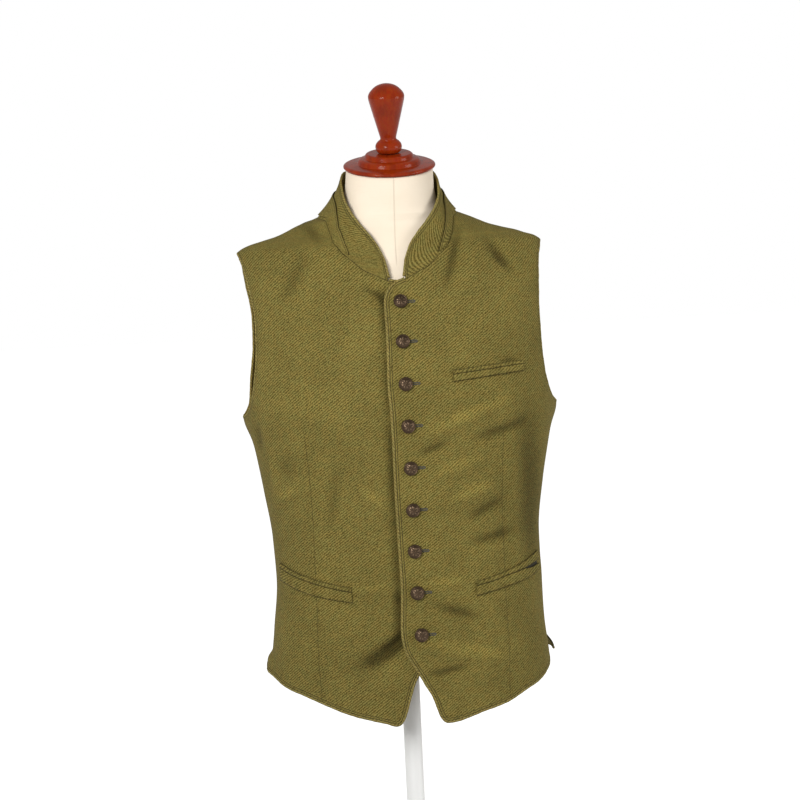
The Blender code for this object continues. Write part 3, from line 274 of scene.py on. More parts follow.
class Table:
    """Rows read as smooth columns that never overshoot them."""

    def __init__(self, columns: Sequence[object], rows: Sequence[Sequence[float]]) -> None:
        """Keep the rows.

        Args:
            columns: Name of each column, the key first.
            rows: The rows, in rising order of the key.
        """
        data = np.asarray(rows, dtype=float)
        self.keys = data[:, 0]
        self.values = {name: data[:, i] for i, name in enumerate(columns)}
        self.slopes = {name: self._slopes(self.values[name]) for name in columns[1:]}

    def _slopes(self, values: Grid) -> Grid:
        """Slope of a column at each row."""
        rise = np.diff(values) / np.diff(self.keys)
        before, after = rise[:-1], rise[1:]
        inner = np.zeros(len(before))
        same = before * after > 0.0
        inner[same] = 2.0 * before[same] * after[same] / (before[same] + after[same])
        return np.concatenate(([rise[0]], inner, [rise[-1]]))

    def at(self, key: Grid | float, name: object) -> Grid:
        """Read a column.

        Args:
            key: Where to read it.
            name: The column.

        Returns:
            The column's value at each key.
        """
        keys = self.keys
        key = np.clip(key, keys[0], keys[-1])
        i = np.clip(np.searchsorted(keys, key, side="left") - 1, 0, len(keys) - 2)
        step = keys[i + 1] - keys[i]
        t = (key - keys[i]) / step
        rest = 1.0 - t
        values, slopes = self.values[name], self.slopes[name]
        return (
            values[i] * (1.0 + 2.0 * t) * rest * rest
            + values[i + 1] * t * t * (3.0 - 2.0 * t)
            + slopes[i] * step * t * rest * rest
            - slopes[i + 1] * step * t * t * rest
        )


class Route:
    """A smooth line through points, read by its share of the measured length."""

    def __init__(self, points: Sequence[Sequence[float]], measure: Callable | None = None) -> None:
        """Measure the line.

        Args:
            points: Points of any dimension.
            measure: Gives the place in space of each of the points, where they aren't places already.
        """
        points = np.asarray(points, dtype=float)
        steps = np.linalg.norm(np.diff(measure(points) if measure else points, axis=0), axis=1)
        lengths = np.concatenate(([0.0], np.cumsum(steps)))
        self.length = lengths[-1]
        self.shares = lengths / self.length
        self.size = points.shape[1]
        self.table = Table(("share", *range(self.size)), np.column_stack((self.shares, points)))

    def at(self, share: Grid | float) -> Grid:
        """Point at each share of the length."""
        return np.stack([self.table.at(share, axis) for axis in range(self.size)], axis=-1)


def fade(value: Grid | float, low: float, high: float) -> Grid:
    """0 below low, 1 above high, smooth between."""
    t = np.clip((np.asarray(value) - low) / (high - low), 0.0, 1.0)
    return t * t * (3.0 - 2.0 * t)


def unit(vectors: Grid) -> Grid:
    """The vectors at length 1."""
    return vectors / np.maximum(np.linalg.norm(vectors, axis=-1, keepdims=True), TINY)


def finer(values: Sequence[float], steps: int) -> Grid:
    """The values with each stretch between two of them cut into steps."""
    count = len(values)
    return np.interp(np.arange((count - 1) * steps + 1) / steps, np.arange(count), values)


# The body under the cloth


def oval(turn: Grid | float, power: Grid | float) -> tuple[Grid, Grid]:
    """Sine and cosine of a squarish oval in the direction of a turn in degrees."""
    s, c = np.sin(np.radians(turn)), np.cos(np.radians(turn))
    size = (np.abs(s) ** power + np.abs(c) ** power) ** (1.0 / power)
    return s / size, c / size


@dataclass
class Body:
    """The shape that the cloth lies on, read by turn round it and height."""

    rings: Table = field(default_factory=lambda: Table(RING_COLUMNS, RINGS))
    widest: float = 0.99999
    last_turn: float = 359.999
    turn_step: float = 0.4
    rise_step: float = 0.0006
    turn_steps: int = 360
    slope_steps: int = 260
    levels: int = 72

    def __post_init__(self) -> None:
        """Measure the body's slope and girth."""
        low, high = self.rings.keys[0], self.rings.keys[-1]
        self.heights = np.linspace(low, high, self.slope_steps + 1)
        run = np.hypot(np.diff(self.rings.at(self.heights, "half_width")), np.diff(self.heights))
        self.lengths = np.concatenate(([0.0], np.cumsum(run)))
        self.turns = np.linspace(-180.0, 180.0, self.turn_steps + 1)
        self.arc_heights = np.linspace(low, high, self.levels)
        ring = self.point(self.turns[None, :], self.arc_heights[:, None])
        arcs = np.cumsum(np.linalg.norm(np.diff(ring[..., :2], axis=1), axis=2), axis=1)
        arcs = np.concatenate((np.zeros((self.levels, 1)), arcs), axis=1)
        front = self.turn_steps // 2
        self.arcs = arcs - arcs[:, front : front + 1]

    def point(self, turn: Grid | float, z: Grid | float) -> Grid:
        """Point of the body at a turn and height."""
        at = self.rings.at
        s, c = oval(turn, at(z, "power"))
        depth = np.where(c > 0.0, at(z, "front"), at(z, "back"))
        x = at(z, "centre_x") + at(z, "half_width") * s
        y = at(z, "centre_y") - depth * c
        return np.stack((x, y, np.broadcast_to(z, x.shape)), axis=-1)

    def turn_at(self, x: Grid | float, z: Grid | float) -> Grid:
        """Turn of the point of the front that shows at x and z."""
        power = self.rings.at(z, "power")
        share = (x - self.rings.at(z, "centre_x")) / self.rings.at(z, "half_width")
        part = np.abs(np.clip(share, -self.widest, self.widest)) ** power
        return np.copysign(np.degrees(np.arctan((part / (1.0 - part)) ** (1.0 / power))), share)

    def way_out(self, turn: Grid | float, z: Grid | float) -> Grid:
        """Unit vector away from the body."""
        across = self.point(turn + self.turn_step, z) - self.point(turn - self.turn_step, z)
        up = self.point(turn, z + self.rise_step) - self.point(turn, z - self.rise_step)
        return unit(np.cross(across, up))

    def length_at(self, z: Grid | float) -> Grid:
        """Slope length from the lowest ring to a height."""
        return np.interp(z, self.heights, self.lengths)

    def height_at(self, length: Grid | float) -> Grid:
        """Height at a slope length."""
        return np.interp(length, self.lengths, self.heights)

    def across(self, turn: Grid, z: Grid) -> Grid:
        """Length round the body from the centre front to a turn, at a height."""
        row = np.interp(z, self.arc_heights, np.arange(self.levels))
        low = np.clip(row.astype(int), 0, self.levels - 2)
        place = np.clip(turn + 180.0, 0.0, self.last_turn)
        left = place.astype(int)
        share = place - left
        lower = self.arcs[low, left] * (1.0 - share) + self.arcs[low, left + 1] * share
        upper = self.arcs[low + 1, left] * (1.0 - share) + self.arcs[low + 1, left + 1] * share
        return lower + (upper - lower) * (row - low)


# Creases


@dataclass(frozen=True)
class Crease:
    """A soft trough of the cloth, or a ridge where its depth is negative.

    Its ends are x and z seen from the front, or turns from the centre front and z on the back.
    """

    side: Side
    x0: float
    z0: float
    x1: float
    z1: float
    half_width: float
    depth: float
    taper: float = 0.0
    bend: float = 0.0

    def height(self, x: Grid, z: Grid, scale: Grid | float = 1.0) -> Grid:
        """Height of the cloth that the crease gives at each point.

        Args:
            x: Places across, in metres.
            z: Heights.
            scale: Metres across that one step of the crease's own ends takes.

        Returns:
            The height at each point.
        """
        dx, dz = (self.x1 - self.x0) * scale, self.z1 - self.z0
        run = np.hypot(dx, dz)
        ax, az = dx / run, dz / run
        px, pz = x - self.x0 * scale, z - self.z0
        along = px * ax + pz * az
        share = np.clip(along / run, 0.0, 1.0)
        off = pz * ax - px * az - self.bend * np.sin(math.pi * share)
        fall = np.exp(-((off / self.half_width) ** 2) - ((along - share * run) / self.half_width) ** 2)
        return -self.depth * fall * (1.0 - self.taper * (2.0 * share - 1.0) ** 2)


L, R = Side.LEFT, Side.RIGHT

# Folds of the fronts, as they show: strip beside the lap, drags, and the soft unevenness of each side
FRONT_FOLDS = tuple(
    Crease(*row)
    for row in (
        (R, -0.0150, 0.6700, -0.0150, 0.6250, 0.0080, 0.0018, 0.3),
        (R, -0.0165, 0.6125, -0.0170, 0.5350, 0.0065, 0.0013, 0.4),
        (R, -0.0155, 0.5170, -0.0150, 0.4090, 0.0090, 0.0019, 0.4),
        (R, -0.0155, 0.4000, -0.0160, 0.3170, 0.0075, 0.0015, 0.4),
        (R, -0.0150, 0.3150, -0.0160, 0.2700, 0.0090, 0.0018, 0.2),
        (R, -0.0364, 0.6775, -0.0164, 0.6650, 0.0060, 0.0015, 0.3),
        (R, -0.0300, 0.2570, -0.0135, 0.2675, 0.0070, 0.0030, 0.1),
        (R, -0.0500, 0.2460, -0.0200, 0.2640, 0.0110, 0.0016, 0.3),
        (R, -0.0740, 0.2370, -0.0260, 0.2500, 0.0125, 0.0012, 0.4),
        (R, -0.0330, 0.2330, -0.0200, 0.2390, 0.0060, -0.0008, 0.5),
        (R, -0.1400, 0.4850, -0.1373, 0.4660, 0.0120, 0.0012, 0.3),
        (R, -0.1512, 0.4330, -0.1242, 0.4530, 0.0060, -0.0010, 0.5),
        (R, -0.0802, 0.4660, -0.0922, 0.4020, 0.0100, 0.0012, 0.4),
        (R, -0.0557, 0.4480, -0.0290, 0.4250, 0.0055, -0.0010, 0.5),
        (R, -0.0660, 0.3275, -0.0275, 0.3310, 0.0050, -0.0010, 0.5),
        (R, -0.1090, 0.3410, -0.0925, 0.3435, 0.0070, -0.0009, 0.5),
        (R, -0.0990, 0.7530, -0.0850, 0.7365, 0.0090, 0.0014, 0.4),
        (R, -0.1050, 0.7140, -0.1300, 0.6700, 0.0110, 0.0012, 0.4),
        (R, -0.1688, 0.5230, -0.1656, 0.4930, 0.0045, 0.0014, 0.4),
        (R, -0.1555, 0.4915, -0.1495, 0.4450, 0.0040, -0.0009, 0.5),
        (L, 0.0280, 0.5095, 0.1225, 0.5405, 0.0075, -0.0014, 0.5, 0.0020),
        (L, 0.0142, 0.4845, 0.0475, 0.4970, 0.0060, 0.0018, 0.5),
        (L, 0.0320, 0.4600, 0.0845, 0.4755, 0.0070, -0.0014, 0.5),
        (L, 0.0820, 0.4990, 0.1375, 0.5135, 0.0070, 0.0018, 0.5),
        (L, 0.0480, 0.4275, 0.0955, 0.4430, 0.0070, -0.0014, 0.5),
        (L, 0.0720, 0.4070, 0.1080, 0.4240, 0.0070, 0.0018, 0.5),
        (L, 0.0710, 0.3765, 0.1190, 0.3860, 0.0070, 0.0018, 0.5),
        (L, 0.0135, 0.3300, 0.0655, 0.3345, 0.0070, -0.0012, 0.5),
        (L, 0.0240, 0.3070, 0.0765, 0.2885, 0.0075, 0.0018, 0.5),
        (L, 0.0105, 0.2630, 0.1120, 0.2385, 0.0090, -0.0014, 0.5),
        (L, 0.0145, 0.2250, 0.0610, 0.2320, 0.0055, 0.0018, 0.5),
        (L, 0.1480, 0.5215, 0.1465, 0.3515, 0.0175, 0.0016, 0.3),
        (L, 0.0790, 0.7400, 0.0570, 0.6755, 0.0070, 0.0018, 0.5),
        (L, 0.1120, 0.7245, 0.1360, 0.6905, 0.0080, 0.0020, 0.5),
        (L, 0.0570, 0.5775, 0.0700, 0.5780, 0.0060, 0.0015, 0.4),
        (L, 0.1190, 0.5850, 0.1335, 0.5865, 0.0060, 0.0015, 0.4),
    )
)

# Main folds of the back
BACK_FOLDS = tuple(
    Crease(*row)
    for row in (
        (L, 125.0, 0.4000, 160.0, 0.3650, 0.0140, 0.0022),
        (R, 122.0, 0.4150, 155.0, 0.3720, 0.0140, 0.0024),
        (L, 120.0, 0.5600, 150.0, 0.5150, 0.0180, 0.0018),
        (R, 124.0, 0.5500, 152.0, 0.4980, 0.0180, 0.0018),
    )
)


@dataclass
class Drape:
    """How the cloth lies on the body: lap, darts, folds and pushed-out corners."""

    body: Body
    lap_lift: float = 0.0030
    lap_fade: Pair = (0.030, 0.060)
    dart_half_width: float = 0.010
    dart_depth: float = 0.0007
    dart_fade: float = 0.03
    fold_share: float = 1.5
    corner_push: tuple[float, float] = (0.0075, 0.0060)
    corner_turn: float = 16.0
    corner_below: float = 0.022
    corner_above: float = 0.012
    back_kick: float = 0.0090
    front_kick: float = 0.0050
    front_kick_fade: Pair = (0.235, 0.248)
    kick_turns: Pair = (6.0, 22.0)

    def __post_init__(self) -> None:
        """Read the dart's line by height."""
        self.dart = Table(("z", "x"), [(z, x) for x, z in reversed(DART)])

    def corner(self, side: Side, turn: Grid, z: Grid) -> Grid:
        """Height that the underarm corner stands off the body."""
        reach = np.where(z > UNDERARM, self.corner_above, self.corner_below)
        off_turn = (np.abs(turn) - SIDE_SEAM) / self.corner_turn
        push = self.corner_push[0] if side is L else self.corner_push[1]
        return push * np.exp(-(off_turn**2) - ((z - UNDERARM) / reach) ** 2)

    def dart_place(self, side: Side, x: Grid, z: Grid) -> tuple[Grid, Grid]:
        """Distance from the dart's line towards the side, and how present the dart is there."""
        low, high = DART[-1][1], DART[0][1]
        along = fade(z, low - self.dart_fade, low) * (1.0 - fade(z, high - self.dart_fade, high))
        return side.value * x - self.dart.at(z, "x"), along

    @staticmethod
    def _folds(folds: Sequence[Crease], side: Side, x: Grid, z: Grid, scale: Grid | float = 1.0) -> Grid:
        """Height that one side's folds give together."""
        own = (fold.height(x, z, scale) for fold in folds if fold.side is side)
        return sum(own, np.zeros(x.shape))

    def front(self, side: Side, turn: Grid, z: Grid) -> tuple[Grid, Grid]:
        """Lay a front.

        Args:
            side: The wearer's side.
            turn: Turns of the points.
            z: Their heights.

        Returns:
            Points of the inner face, and the height that their creases give them.
        """
        flat = self.body.point(turn, z)
        x = flat[..., 0]
        off, along = self.dart_place(side, x, z)
        crease = -self.dart_depth * along * np.exp(-((off / self.dart_half_width) ** 2))
        crease = crease + self.fold_share * self._folds(FRONT_FOLDS, side, x, z)
        height = crease + self.corner(side, turn, z)
        if side is L:
            height = height + self.lap_lift * (1.0 - fade(x, *self.lap_fade))
        else:
            near_side = 1.0 - fade(SIDE_SEAM - np.abs(turn), *self.kick_turns)
            height = height + self.front_kick * near_side * (1.0 - fade(z, *self.front_kick_fade))
        return flat + self.body.way_out(turn, z) * height[..., None], crease

    def back(self, side: Side, turn: Grid, z: Grid) -> tuple[Grid, Grid]:
        """Lay one half of the back, as front() lays a front."""
        flat = self.body.point(turn, z)
        own = np.abs(turn)
        arc = self.body.rings.at(z, "half_width") * math.pi / 180.0
        crease = self._folds(BACK_FOLDS, side, own * arc, z, arc)
        height = crease + self.corner(side, turn, z)
        if side is L:
            near_side = 1.0 - fade(own - SIDE_SEAM, *self.kick_turns)
            height = height + self.back_kick * near_side * (1.0 - fade(z, BACK_SIDE_HEM, VENT_TOP))
        return flat + self.body.way_out(turn, z) * height[..., None], crease


# Cutting of the panels


@dataclass(frozen=True)
class PanelCut:
    """Edges of a cut piece as turn and slope length, and the spacing of its rows and columns."""

    inner: Route
    hem: Route
    seam: Route
    armhole: Route
    shoulder: Route
    columns: Grid
    inner_shares: Grid
    row_steps: int
    neck_row: int
    half: bool

    @property
    def seam_row(self) -> int:
        """Row of the underarm corner."""
        return (len(SIDE_SEAM_ROWS) - 1) * self.row_steps

    def places(self) -> tuple[Grid, Grid]:
        """Turn and slope length of each point of the grid, rows from the hem to the shoulder."""
        seam_rows = len(SIDE_SEAM_ROWS) - 1
        rows = finer(range(seam_rows + len(ARMHOLE_ROWS) + 1), self.row_steps)
        on_seam = self.seam.at(np.interp(rows, range(seam_rows + 1), SIDE_SEAM_ROWS))
        up_armhole = np.arange(seam_rows, seam_rows + len(ARMHOLE_ROWS) + 1)
        on_armhole = self.armhole.at(np.interp(rows, up_armhole, (0.0,) + ARMHOLE_ROWS))
        right = np.where((rows <= seam_rows)[:, None], on_seam, on_armhole)[:, None, :]
        left = self.inner.at(self.inner_shares)[:, None, :]
        u = self.columns[None, :, None]
        v = (rows / rows[-1])[:, None, None]
        low, high = self.hem.at(self.columns)[None], self.shoulder.at(self.columns)[None]
        corners = (1 - u) * (1 - v) * low[:, :1] + u * (1 - v) * low[:, -1:]
        corners = corners + (1 - u) * v * high[:, :1] + u * v * high[:, -1:]
        grid = (1 - v) * low + v * high + (1 - u) * left + u * right - corners
        return grid[..., 0], grid[..., 1]


@dataclass
class Cutter:
    """Cuts the fronts and the back to the garment's edges."""

    body: Body
    front_steps: int = 10
    back_steps: int = 8
    front_column_steps: int = 7
    back_column_steps: int = 6
    hem_shift_fade: Pair = (0.03, 0.12)

    def __post_init__(self) -> None:
        """Work out the turn that half of a seam's gap takes at the side of the body."""
        self.gap_turn = math.degrees(0.5 * SEAM_GAP / SIDE_REACH)

    def _route(self, points: Iterable[Pair]) -> Route:
        """Route through turns and heights, measured on the body."""
        places = np.array([(turn, self.body.length_at(z)) for turn, z in points], dtype=float)
        return Route(places, lambda p: self.body.point(p[:, 0], self.body.height_at(p[:, 1])))

    def _own(self, side: Side, x: float, z: float) -> Pair:
        """Turn on the wearer's own side, and height, of a point that shows at x."""
        return side.value * float(self.body.turn_at(side.value * x, z)), z

    def _cut(
        self,
        edge: list[Pair],
        neck: list[Pair],
        hem: list[Pair],
        seam: list[Pair],
        armhole: Sequence[Pair],
        rows: Sequence[Sequence[float]],
        steps: int,
        columns: Grid,
        half: bool,
    ) -> PanelCut:
        """A piece from turns and heights along its edges.

        Args:
            edge: Its inner edge, from the hem up.
            neck: Its neck edge, on to the shoulder.
            hem: From the inner edge to the side.
            seam: From the hem to the underarm.
            armhole: Between the underarm and the shoulder.
            rows: Shares of the inner edge for its rows, below the corner at the neck and above it.
            steps: Steps between two of these rows.
            columns: Shares of the width for its columns.
            half: Whether it is half of a piece, joined along its inner edge.

        Returns:
            The cut.
        """
        inner = self._route([*edge, *neck])
        corner = inner.shares[len(edge)]
        shares = [corner * share for share in rows[0]]
        shares += [corner + (1.0 - corner) * share for share in rows[1]]
        shoulder = neck[-1][0]
        return PanelCut(
            inner=inner,
            hem=self._route(hem),
            seam=self._route(seam),
            armhole=self._route([seam[-1], *armhole, (shoulder, SHOULDER_TIP)]),
            shoulder=self._route([(shoulder, z) for z in SHOULDER_HEIGHTS]),
            columns=columns,
            inner_shares=finer(shares, steps),
            row_steps=steps,
            neck_row=(len(rows[0]) - 1) * steps,
            half=half,
        )

    def front(self, side: Side) -> PanelCut:
        """Cut of a front."""
        lap = side is L
        edge = LAP_EDGE if lap else UNDER_EDGE
        seam, shoulder = SIDE_SEAM - self.gap_turn, SHOULDER_SEAM - self.gap_turn
        inner = [self._own(side, x, z) for x, z in edge]
        neck = [self._own(side, x, z) for x, z in NECKLINE] + [NECKLINE_END, (shoulder, NECK_POINT)]
        shift = edge[0][0] - LAP_EDGE[0][0]
        hem = [inner[0]]
        for x, z_left, z_right in FRONT_HEM:
            own_x = x + shift * (1.0 - float(fade(x, *self.hem_shift_fade)))
            hem.append(self._own(side, own_x, z_left if lap else z_right))
        hem.append((seam, SIDE_HEM))
        sides = [(seam, z) for z in FRONT_SEAM_HEIGHTS]
        rows = (FRONT_EDGE_ROWS, NECKLINE_ROWS)
        columns = finer(LAP_COLUMNS if lap else UNDER_COLUMNS, self.front_column_steps)
        return self._cut(inner, neck, hem, sides, FRONT_ARMHOLE, rows, self.front_steps, columns, False)

    def back(self) -> PanelCut:
        """Cut of one half of the back, from its middle to the side."""
        seam, shoulder = SIDE_SEAM + self.gap_turn, SHOULDER_SEAM + self.gap_turn
        centre = [(CENTRE_BACK, z) for z in CENTRE_BACK_HEIGHTS]
        neck = [*BACK_NECKLINE, (shoulder, NECK_POINT)]
        vent = [(seam + opens, z) for opens, z in VENT_OPENS]
        hem = [centre[0], *BACK_HEM_POINTS, vent[0]]
        rows = (BACK_MIDDLE_ROWS, BACK_NECK_ROWS)
        columns = finer(BACK_COLUMNS, self.back_column_steps)
        return self._cut(centre, neck, hem, vent, BACK_ARMHOLE, rows, self.back_steps, columns, True)


# Meshes


@dataclass
class Sheet:
    """A grid of points with its pattern maps and marks, and its cut where it has one."""

    points: Grid
    maps: dict[str, Grid] = field(default_factory=dict)
    marks: dict[str, Grid] = field(default_factory=dict)
    cut: PanelCut | None = None


def ways_out(grid: Grid, heart: Sequence[float] = (0.0, 0.0, 0.0)) -> Grid:
    """Unit vector away from the heart of the body at each point of a grid."""
    out = unit(np.cross(np.gradient(grid, axis=1), np.gradient(grid, axis=0)))
    return out if np.sum(out * (grid - heart) * LEVEL) > 0.0 else -out


def add_object(name: str, data: bpy.types.ID) -> bpy.types.Object:
    """A new object of the scene for a mesh, a light or a camera."""
    obj = bpy.data.objects.new(name, data)
    bpy.context.scene.collection.objects.link(obj)
    return obj


def sheet_object(name: str, sheets: Sequence[Sheet], wall: float) -> bpy.types.Object:
    """Sheets joined where their points meet, facing away from the body, with a wall.

    Args:
        name: Name of the piece.
        sheets: Grids with the same maps and marks.
        wall: Thickness of the cloth.

    Returns:
        The piece, with a live Solidify modifier.
    """
    every = np.concatenate([sheet.points.reshape(-1, 3) for sheet in sheets])
    _, first, place = np.unique(np.round(every, 6), axis=0, return_index=True, return_inverse=True)
    place = place.reshape(-1)
    faces, corners, start = [], {name_: [] for name_ in sheets[0].maps}, 0
    for sheet in sheets:
        rows, columns = sheet.points.shape[:2]
        number = place[start : start + rows * columns].reshape(rows, columns)
        start += rows * columns
        p = sheet.points
        a, b, c, d = p[:-1, :-1], p[:-1, 1:], p[1:, 1:], p[1:, :-1]
        facing = np.sum(np.cross(c - a, d - b) * (a + c) * (1.0, 1.0, 0.0))
        order = slice(None) if facing > 0.0 else slice(None, None, -1)
        faces.append(_corners(number)[:, order])
        for name_, values in sheet.maps.items():
            corners[name_].append(_corners(values)[:, order])
    faces = np.concatenate(faces)
    mesh = bpy.data.meshes.new(name)
    mesh.from_pydata(every[first].tolist(), [], faces.tolist())
    for name_, parts in corners.items():
        layer = mesh.uv_layers.new(name=name_)
        layer.uv.foreach_set("vector", np.concatenate(parts).reshape(-1).astype(np.float32))
    for name_ in sheets[0].marks:
        values = np.concatenate([sheet.marks[name_].reshape(-1) for sheet in sheets])[first]
        layer = mesh.attributes.new(name_, "FLOAT", "POINT")
        layer.data.foreach_set("value", values.astype(np.float32))
    mesh.shade_smooth()
    obj = add_object(name, mesh)
    thickness = obj.modifiers.new("wall", "SOLIDIFY")
    thickness.thickness = wall
    thickness.offset = 1.0
    return obj


def _corners(values: Grid) -> Grid:
    """Values of a grid at the four corners of each of its faces, one row for each face."""
    a, b, c, d = values[:-1, :-1], values[:-1, 1:], values[1:, 1:], values[1:, :-1]
    stacked = np.stack((a, b, c, d), axis=2)
    return stacked.reshape((-1, 4) + values.shape[2:])


@dataclass
class Line:
    """Points along an edge or a seam, with the way out of the cloth at each."""

    points: Grid
    outs: Grid

    def __getitem__(self, part: object) -> "Line":
        """Part of the line."""
        return Line(self.points[part], self.outs[part])

    def evened(self, times: int = 2) -> "Line":
        """The line with each way out shared with its neighbours."""
        outs = self.outs
        for _ in range(times):
            padded = np.concatenate((outs[:1], outs, outs[-1:]))
            outs = unit(padded[:-2] + 2.0 * outs + padded[2:])
        return Line(self.points, outs)

    def tangents(self, closed: bool = False) -> Grid:
        """Unit vector along the line at each point."""
        if closed:
            return unit(np.roll(self.points, -1, axis=0) - np.roll(self.points, 1, axis=0))
        return unit(np.gradient(self.points, axis=0))

    def beside(self, target: Grid, reach: float, closed: bool = False) -> "Line":
        """The line moved aside in the cloth.

        Args:
            target: A point on the side to move to.
            reach: How far to move it.
            closed: Whether the line is a ring.

        Returns:
            The moved line.
        """
        aside = unit(np.cross(self.tangents(closed), self.outs))
        middle = len(self.points) // 2
        sign = math.copysign(1.0, float(np.dot(np.asarray(target) - self.points[middle], aside[middle])))
        return Line(self.points + aside * (sign * reach), self.outs)

    def clear_of(self, edge: Grid, least: float) -> "Line":
        """The line without its points that lie nearer to an edge than a distance."""
        gaps = np.linalg.norm(self.points[:, None] - edge[None], axis=2).min(axis=1)
        return self[gaps >= least]

    def raised(self, height: float) -> "Line":
        """The line moved out of the cloth."""
        return Line(self.points + self.outs * height, self.outs)


def chain(*lines: Line) -> Line:
    """Lines one after the other."""
    return Line(*(np.concatenate([getattr(line, name) for line in lines]) for name in ("points", "outs")))


class OuterFace:
    """The finished outer surface of a piece, to lay others on."""

    def __init__(self, piece: bpy.types.Object, body: Body) -> None:
        """Read the surface of a piece.

        Args:
            piece: A piece whose modifiers are in place.
            body: The body that it lies on.
        """
        evaluated = piece.evaluated_get(bpy.context.evaluated_depsgraph_get())
        mesh = evaluated.to_mesh()
        points = [vertex.co.copy() for vertex in mesh.vertices]
        self.tree = BVHTree.FromPolygons(points, [tuple(p.vertices) for p in mesh.polygons])
        evaluated.to_mesh_clear()
        self.body = body

    def drop(self, line: Line, lift: float = 0.0, reach: float = 0.008) -> Line:
        """Lay a line on the surface.

        Args:
            line: The line, near the surface.
            lift: Height of the laid line above the surface.
            reach: How far out the fall starts.

        Returns:
            The laid line, without the points that miss.
        """
        points, outs = [], []
        for point, out in zip(line.points, line.outs):
            way = Vector(out)
            hit = self.tree.ray_cast(Vector(point) + way * reach, -way, 2.0 * reach)[0]
            if hit is not None:
                points.append(hit + way * lift)
                outs.append(way)
        return Line(np.array(points), np.array(outs))

    def at(self, x: Grid, z: Grid) -> Line:
        """Points of a front's surface that show at x and z."""
        turn = self.body.turn_at(x, z)
        out = self.body.way_out(turn, z)
        return self.drop(Line(self.body.point(turn, z), out), reach=0.05)


def tube_object(
    name: str, line: Line, across: float, thick: float, closed: bool = False, sides: int = 10
) -> bpy.types.Object:
    """A rolled edge along a line, flattened against the cloth.

    Args:
        name: Name of the piece.
        line: Its middle line.
        across: Half width in the cloth.
        thick: Half width out of the cloth.
        closed: Whether the line is a ring.
        sides: Sides round the roll.

    Returns:
        The piece, with the pattern map "weave".
    """
    tangents = line.tangents(closed)
    aside = unit(np.cross(tangents, line.outs))
    out = unit(np.cross(aside, tangents))
    steps = np.linalg.norm(np.diff(line.points, axis=0, append=line.points[:1]), axis=1)
    along = np.concatenate(([0.0], np.cumsum(steps)))
    waver = 1.0 + sum(share * np.sin(along[:-1] * pace + start) for share, pace, start in ROLL_WAVER)
    turn = np.linspace(0.0, TURN, sides + 1)[:-1]
    ring = aside[:, None] * (across * np.cos(turn))[None, :, None]
    ring = ring + out[:, None] * (thick * np.sin(turn))[None, :, None]
    points = line.points[:, None] + ring * waver[:, None, None]
    count = len(line.points)
    faces, weave = [], []
    girth = TURN * 0.5 * (across + thick)
    for i in range(count if closed else count - 1):
        j = (i + 1) % count
        for k in range(sides):
            m = (k + 1) % sides
            faces.append((i * sides + k, i * sides + m, j * sides + m, j * sides + k))
            low, high = girth * k / sides, girth * (k + 1) / sides
            weave += [along[i], low, along[i], high, along[i + 1], high, along[i + 1], low]
    if not closed:
        last = (count - 1) * sides
        faces += [tuple(reversed(range(sides))), tuple(range(last, last + sides))]
        weave += [0.0, 0.0] * (2 * sides)
    mesh = bpy.data.meshes.new(name)
    mesh.from_pydata(points.reshape(-1, 3).tolist(), [], faces)
    mesh.uv_layers.new(name="weave").uv.foreach_set("vector", np.array(weave, dtype=np.float32))
    mesh.shade_smooth()
    return add_object(name, mesh)


def turned_object(
    name: str, profile: Sequence[Pair], sides: int, frame_of: Matrix, relief: Callable | None = None
) -> bpy.types.Object:
    """A solid of revolution from an outline that starts and ends on the axis.

    Args:
        name: Name of the piece.
        profile: Radius and height of the outline, from the top down.
        sides: Sides round the axis.
        frame_of: Place of the axis.
        relief: Height added for a radius and a turn, if any.

    Returns:
        The piece, with the mark "cavity" where relief sinks.
    """
    turn = np.linspace(0.0, TURN, sides + 1)[:-1]
    inner = np.array(profile[1:-1])
    radius, height = inner[:, 0][:, None], inner[:, 1][:, None]
    added = np.zeros((len(inner), sides)) if relief is None else relief(radius, turn[None, :], height)
    ring = np.stack(
        (radius * np.cos(turn), radius * np.sin(turn), np.broadcast_to(height, added.shape) + added), axis=2
    )
    points = [(0.0, 0.0, profile[0][1])] + ring.reshape(-1, 3).tolist() + [(0.0, 0.0, profile[-1][1])]
    count, last = len(inner), len(points) - 1
    faces = []
    for k in range(sides):
        m = (k + 1) % sides
        faces.append((0, 1 + k, 1 + m))
        for i in range(count - 1):
            a, b = 1 + i * sides, 1 + (i + 1) * sides
            faces.append((a + k, b + k, b + m, a + m))
        faces.append((last, last - sides + m, last - sides + k))
    mesh = bpy.data.meshes.new(name)
    mesh.from_pydata([frame_of @ Vector(p) for p in points], [], faces)
    layer = mesh.attributes.new("cavity", "FLOAT", "POINT")
    layer.data.foreach_set("value", np.concatenate(([0.0], added.reshape(-1), [0.0])).astype(np.float32))
    mesh.shade_smooth()
    return add_object(name, mesh)


def softened(
    profile: Sequence[Pair], radius: float, steps: int = 5, most: float = 0.49
) -> list[Pair]:
    """An outline with each inner corner rounded.

    Args:
        profile: The outline's corners.
        radius: How far from each corner the rounding starts, where there is room.
        steps: Points of each rounding.
        most: Largest share of an edge that one rounding takes.

    Returns:
        The rounded outline.
    """
    corners = [Vector(p) for p in profile]
    line = [tuple(corners[0])]
    for before, here, after in zip(corners, corners[1:], corners[2:]):
        back, on = before - here, after - here
        start = here + back * min(radius / back.length, most)
        end = here + on * min(radius / on.length, most)
        for i in range(steps):
            t = i / (steps - 1)
            line.append(tuple(start.lerp(here, t).lerp(here.lerp(end, t), t)))
    line.append(tuple(corners[-1]))
    return line


# Threads, laid by Geometry Nodes


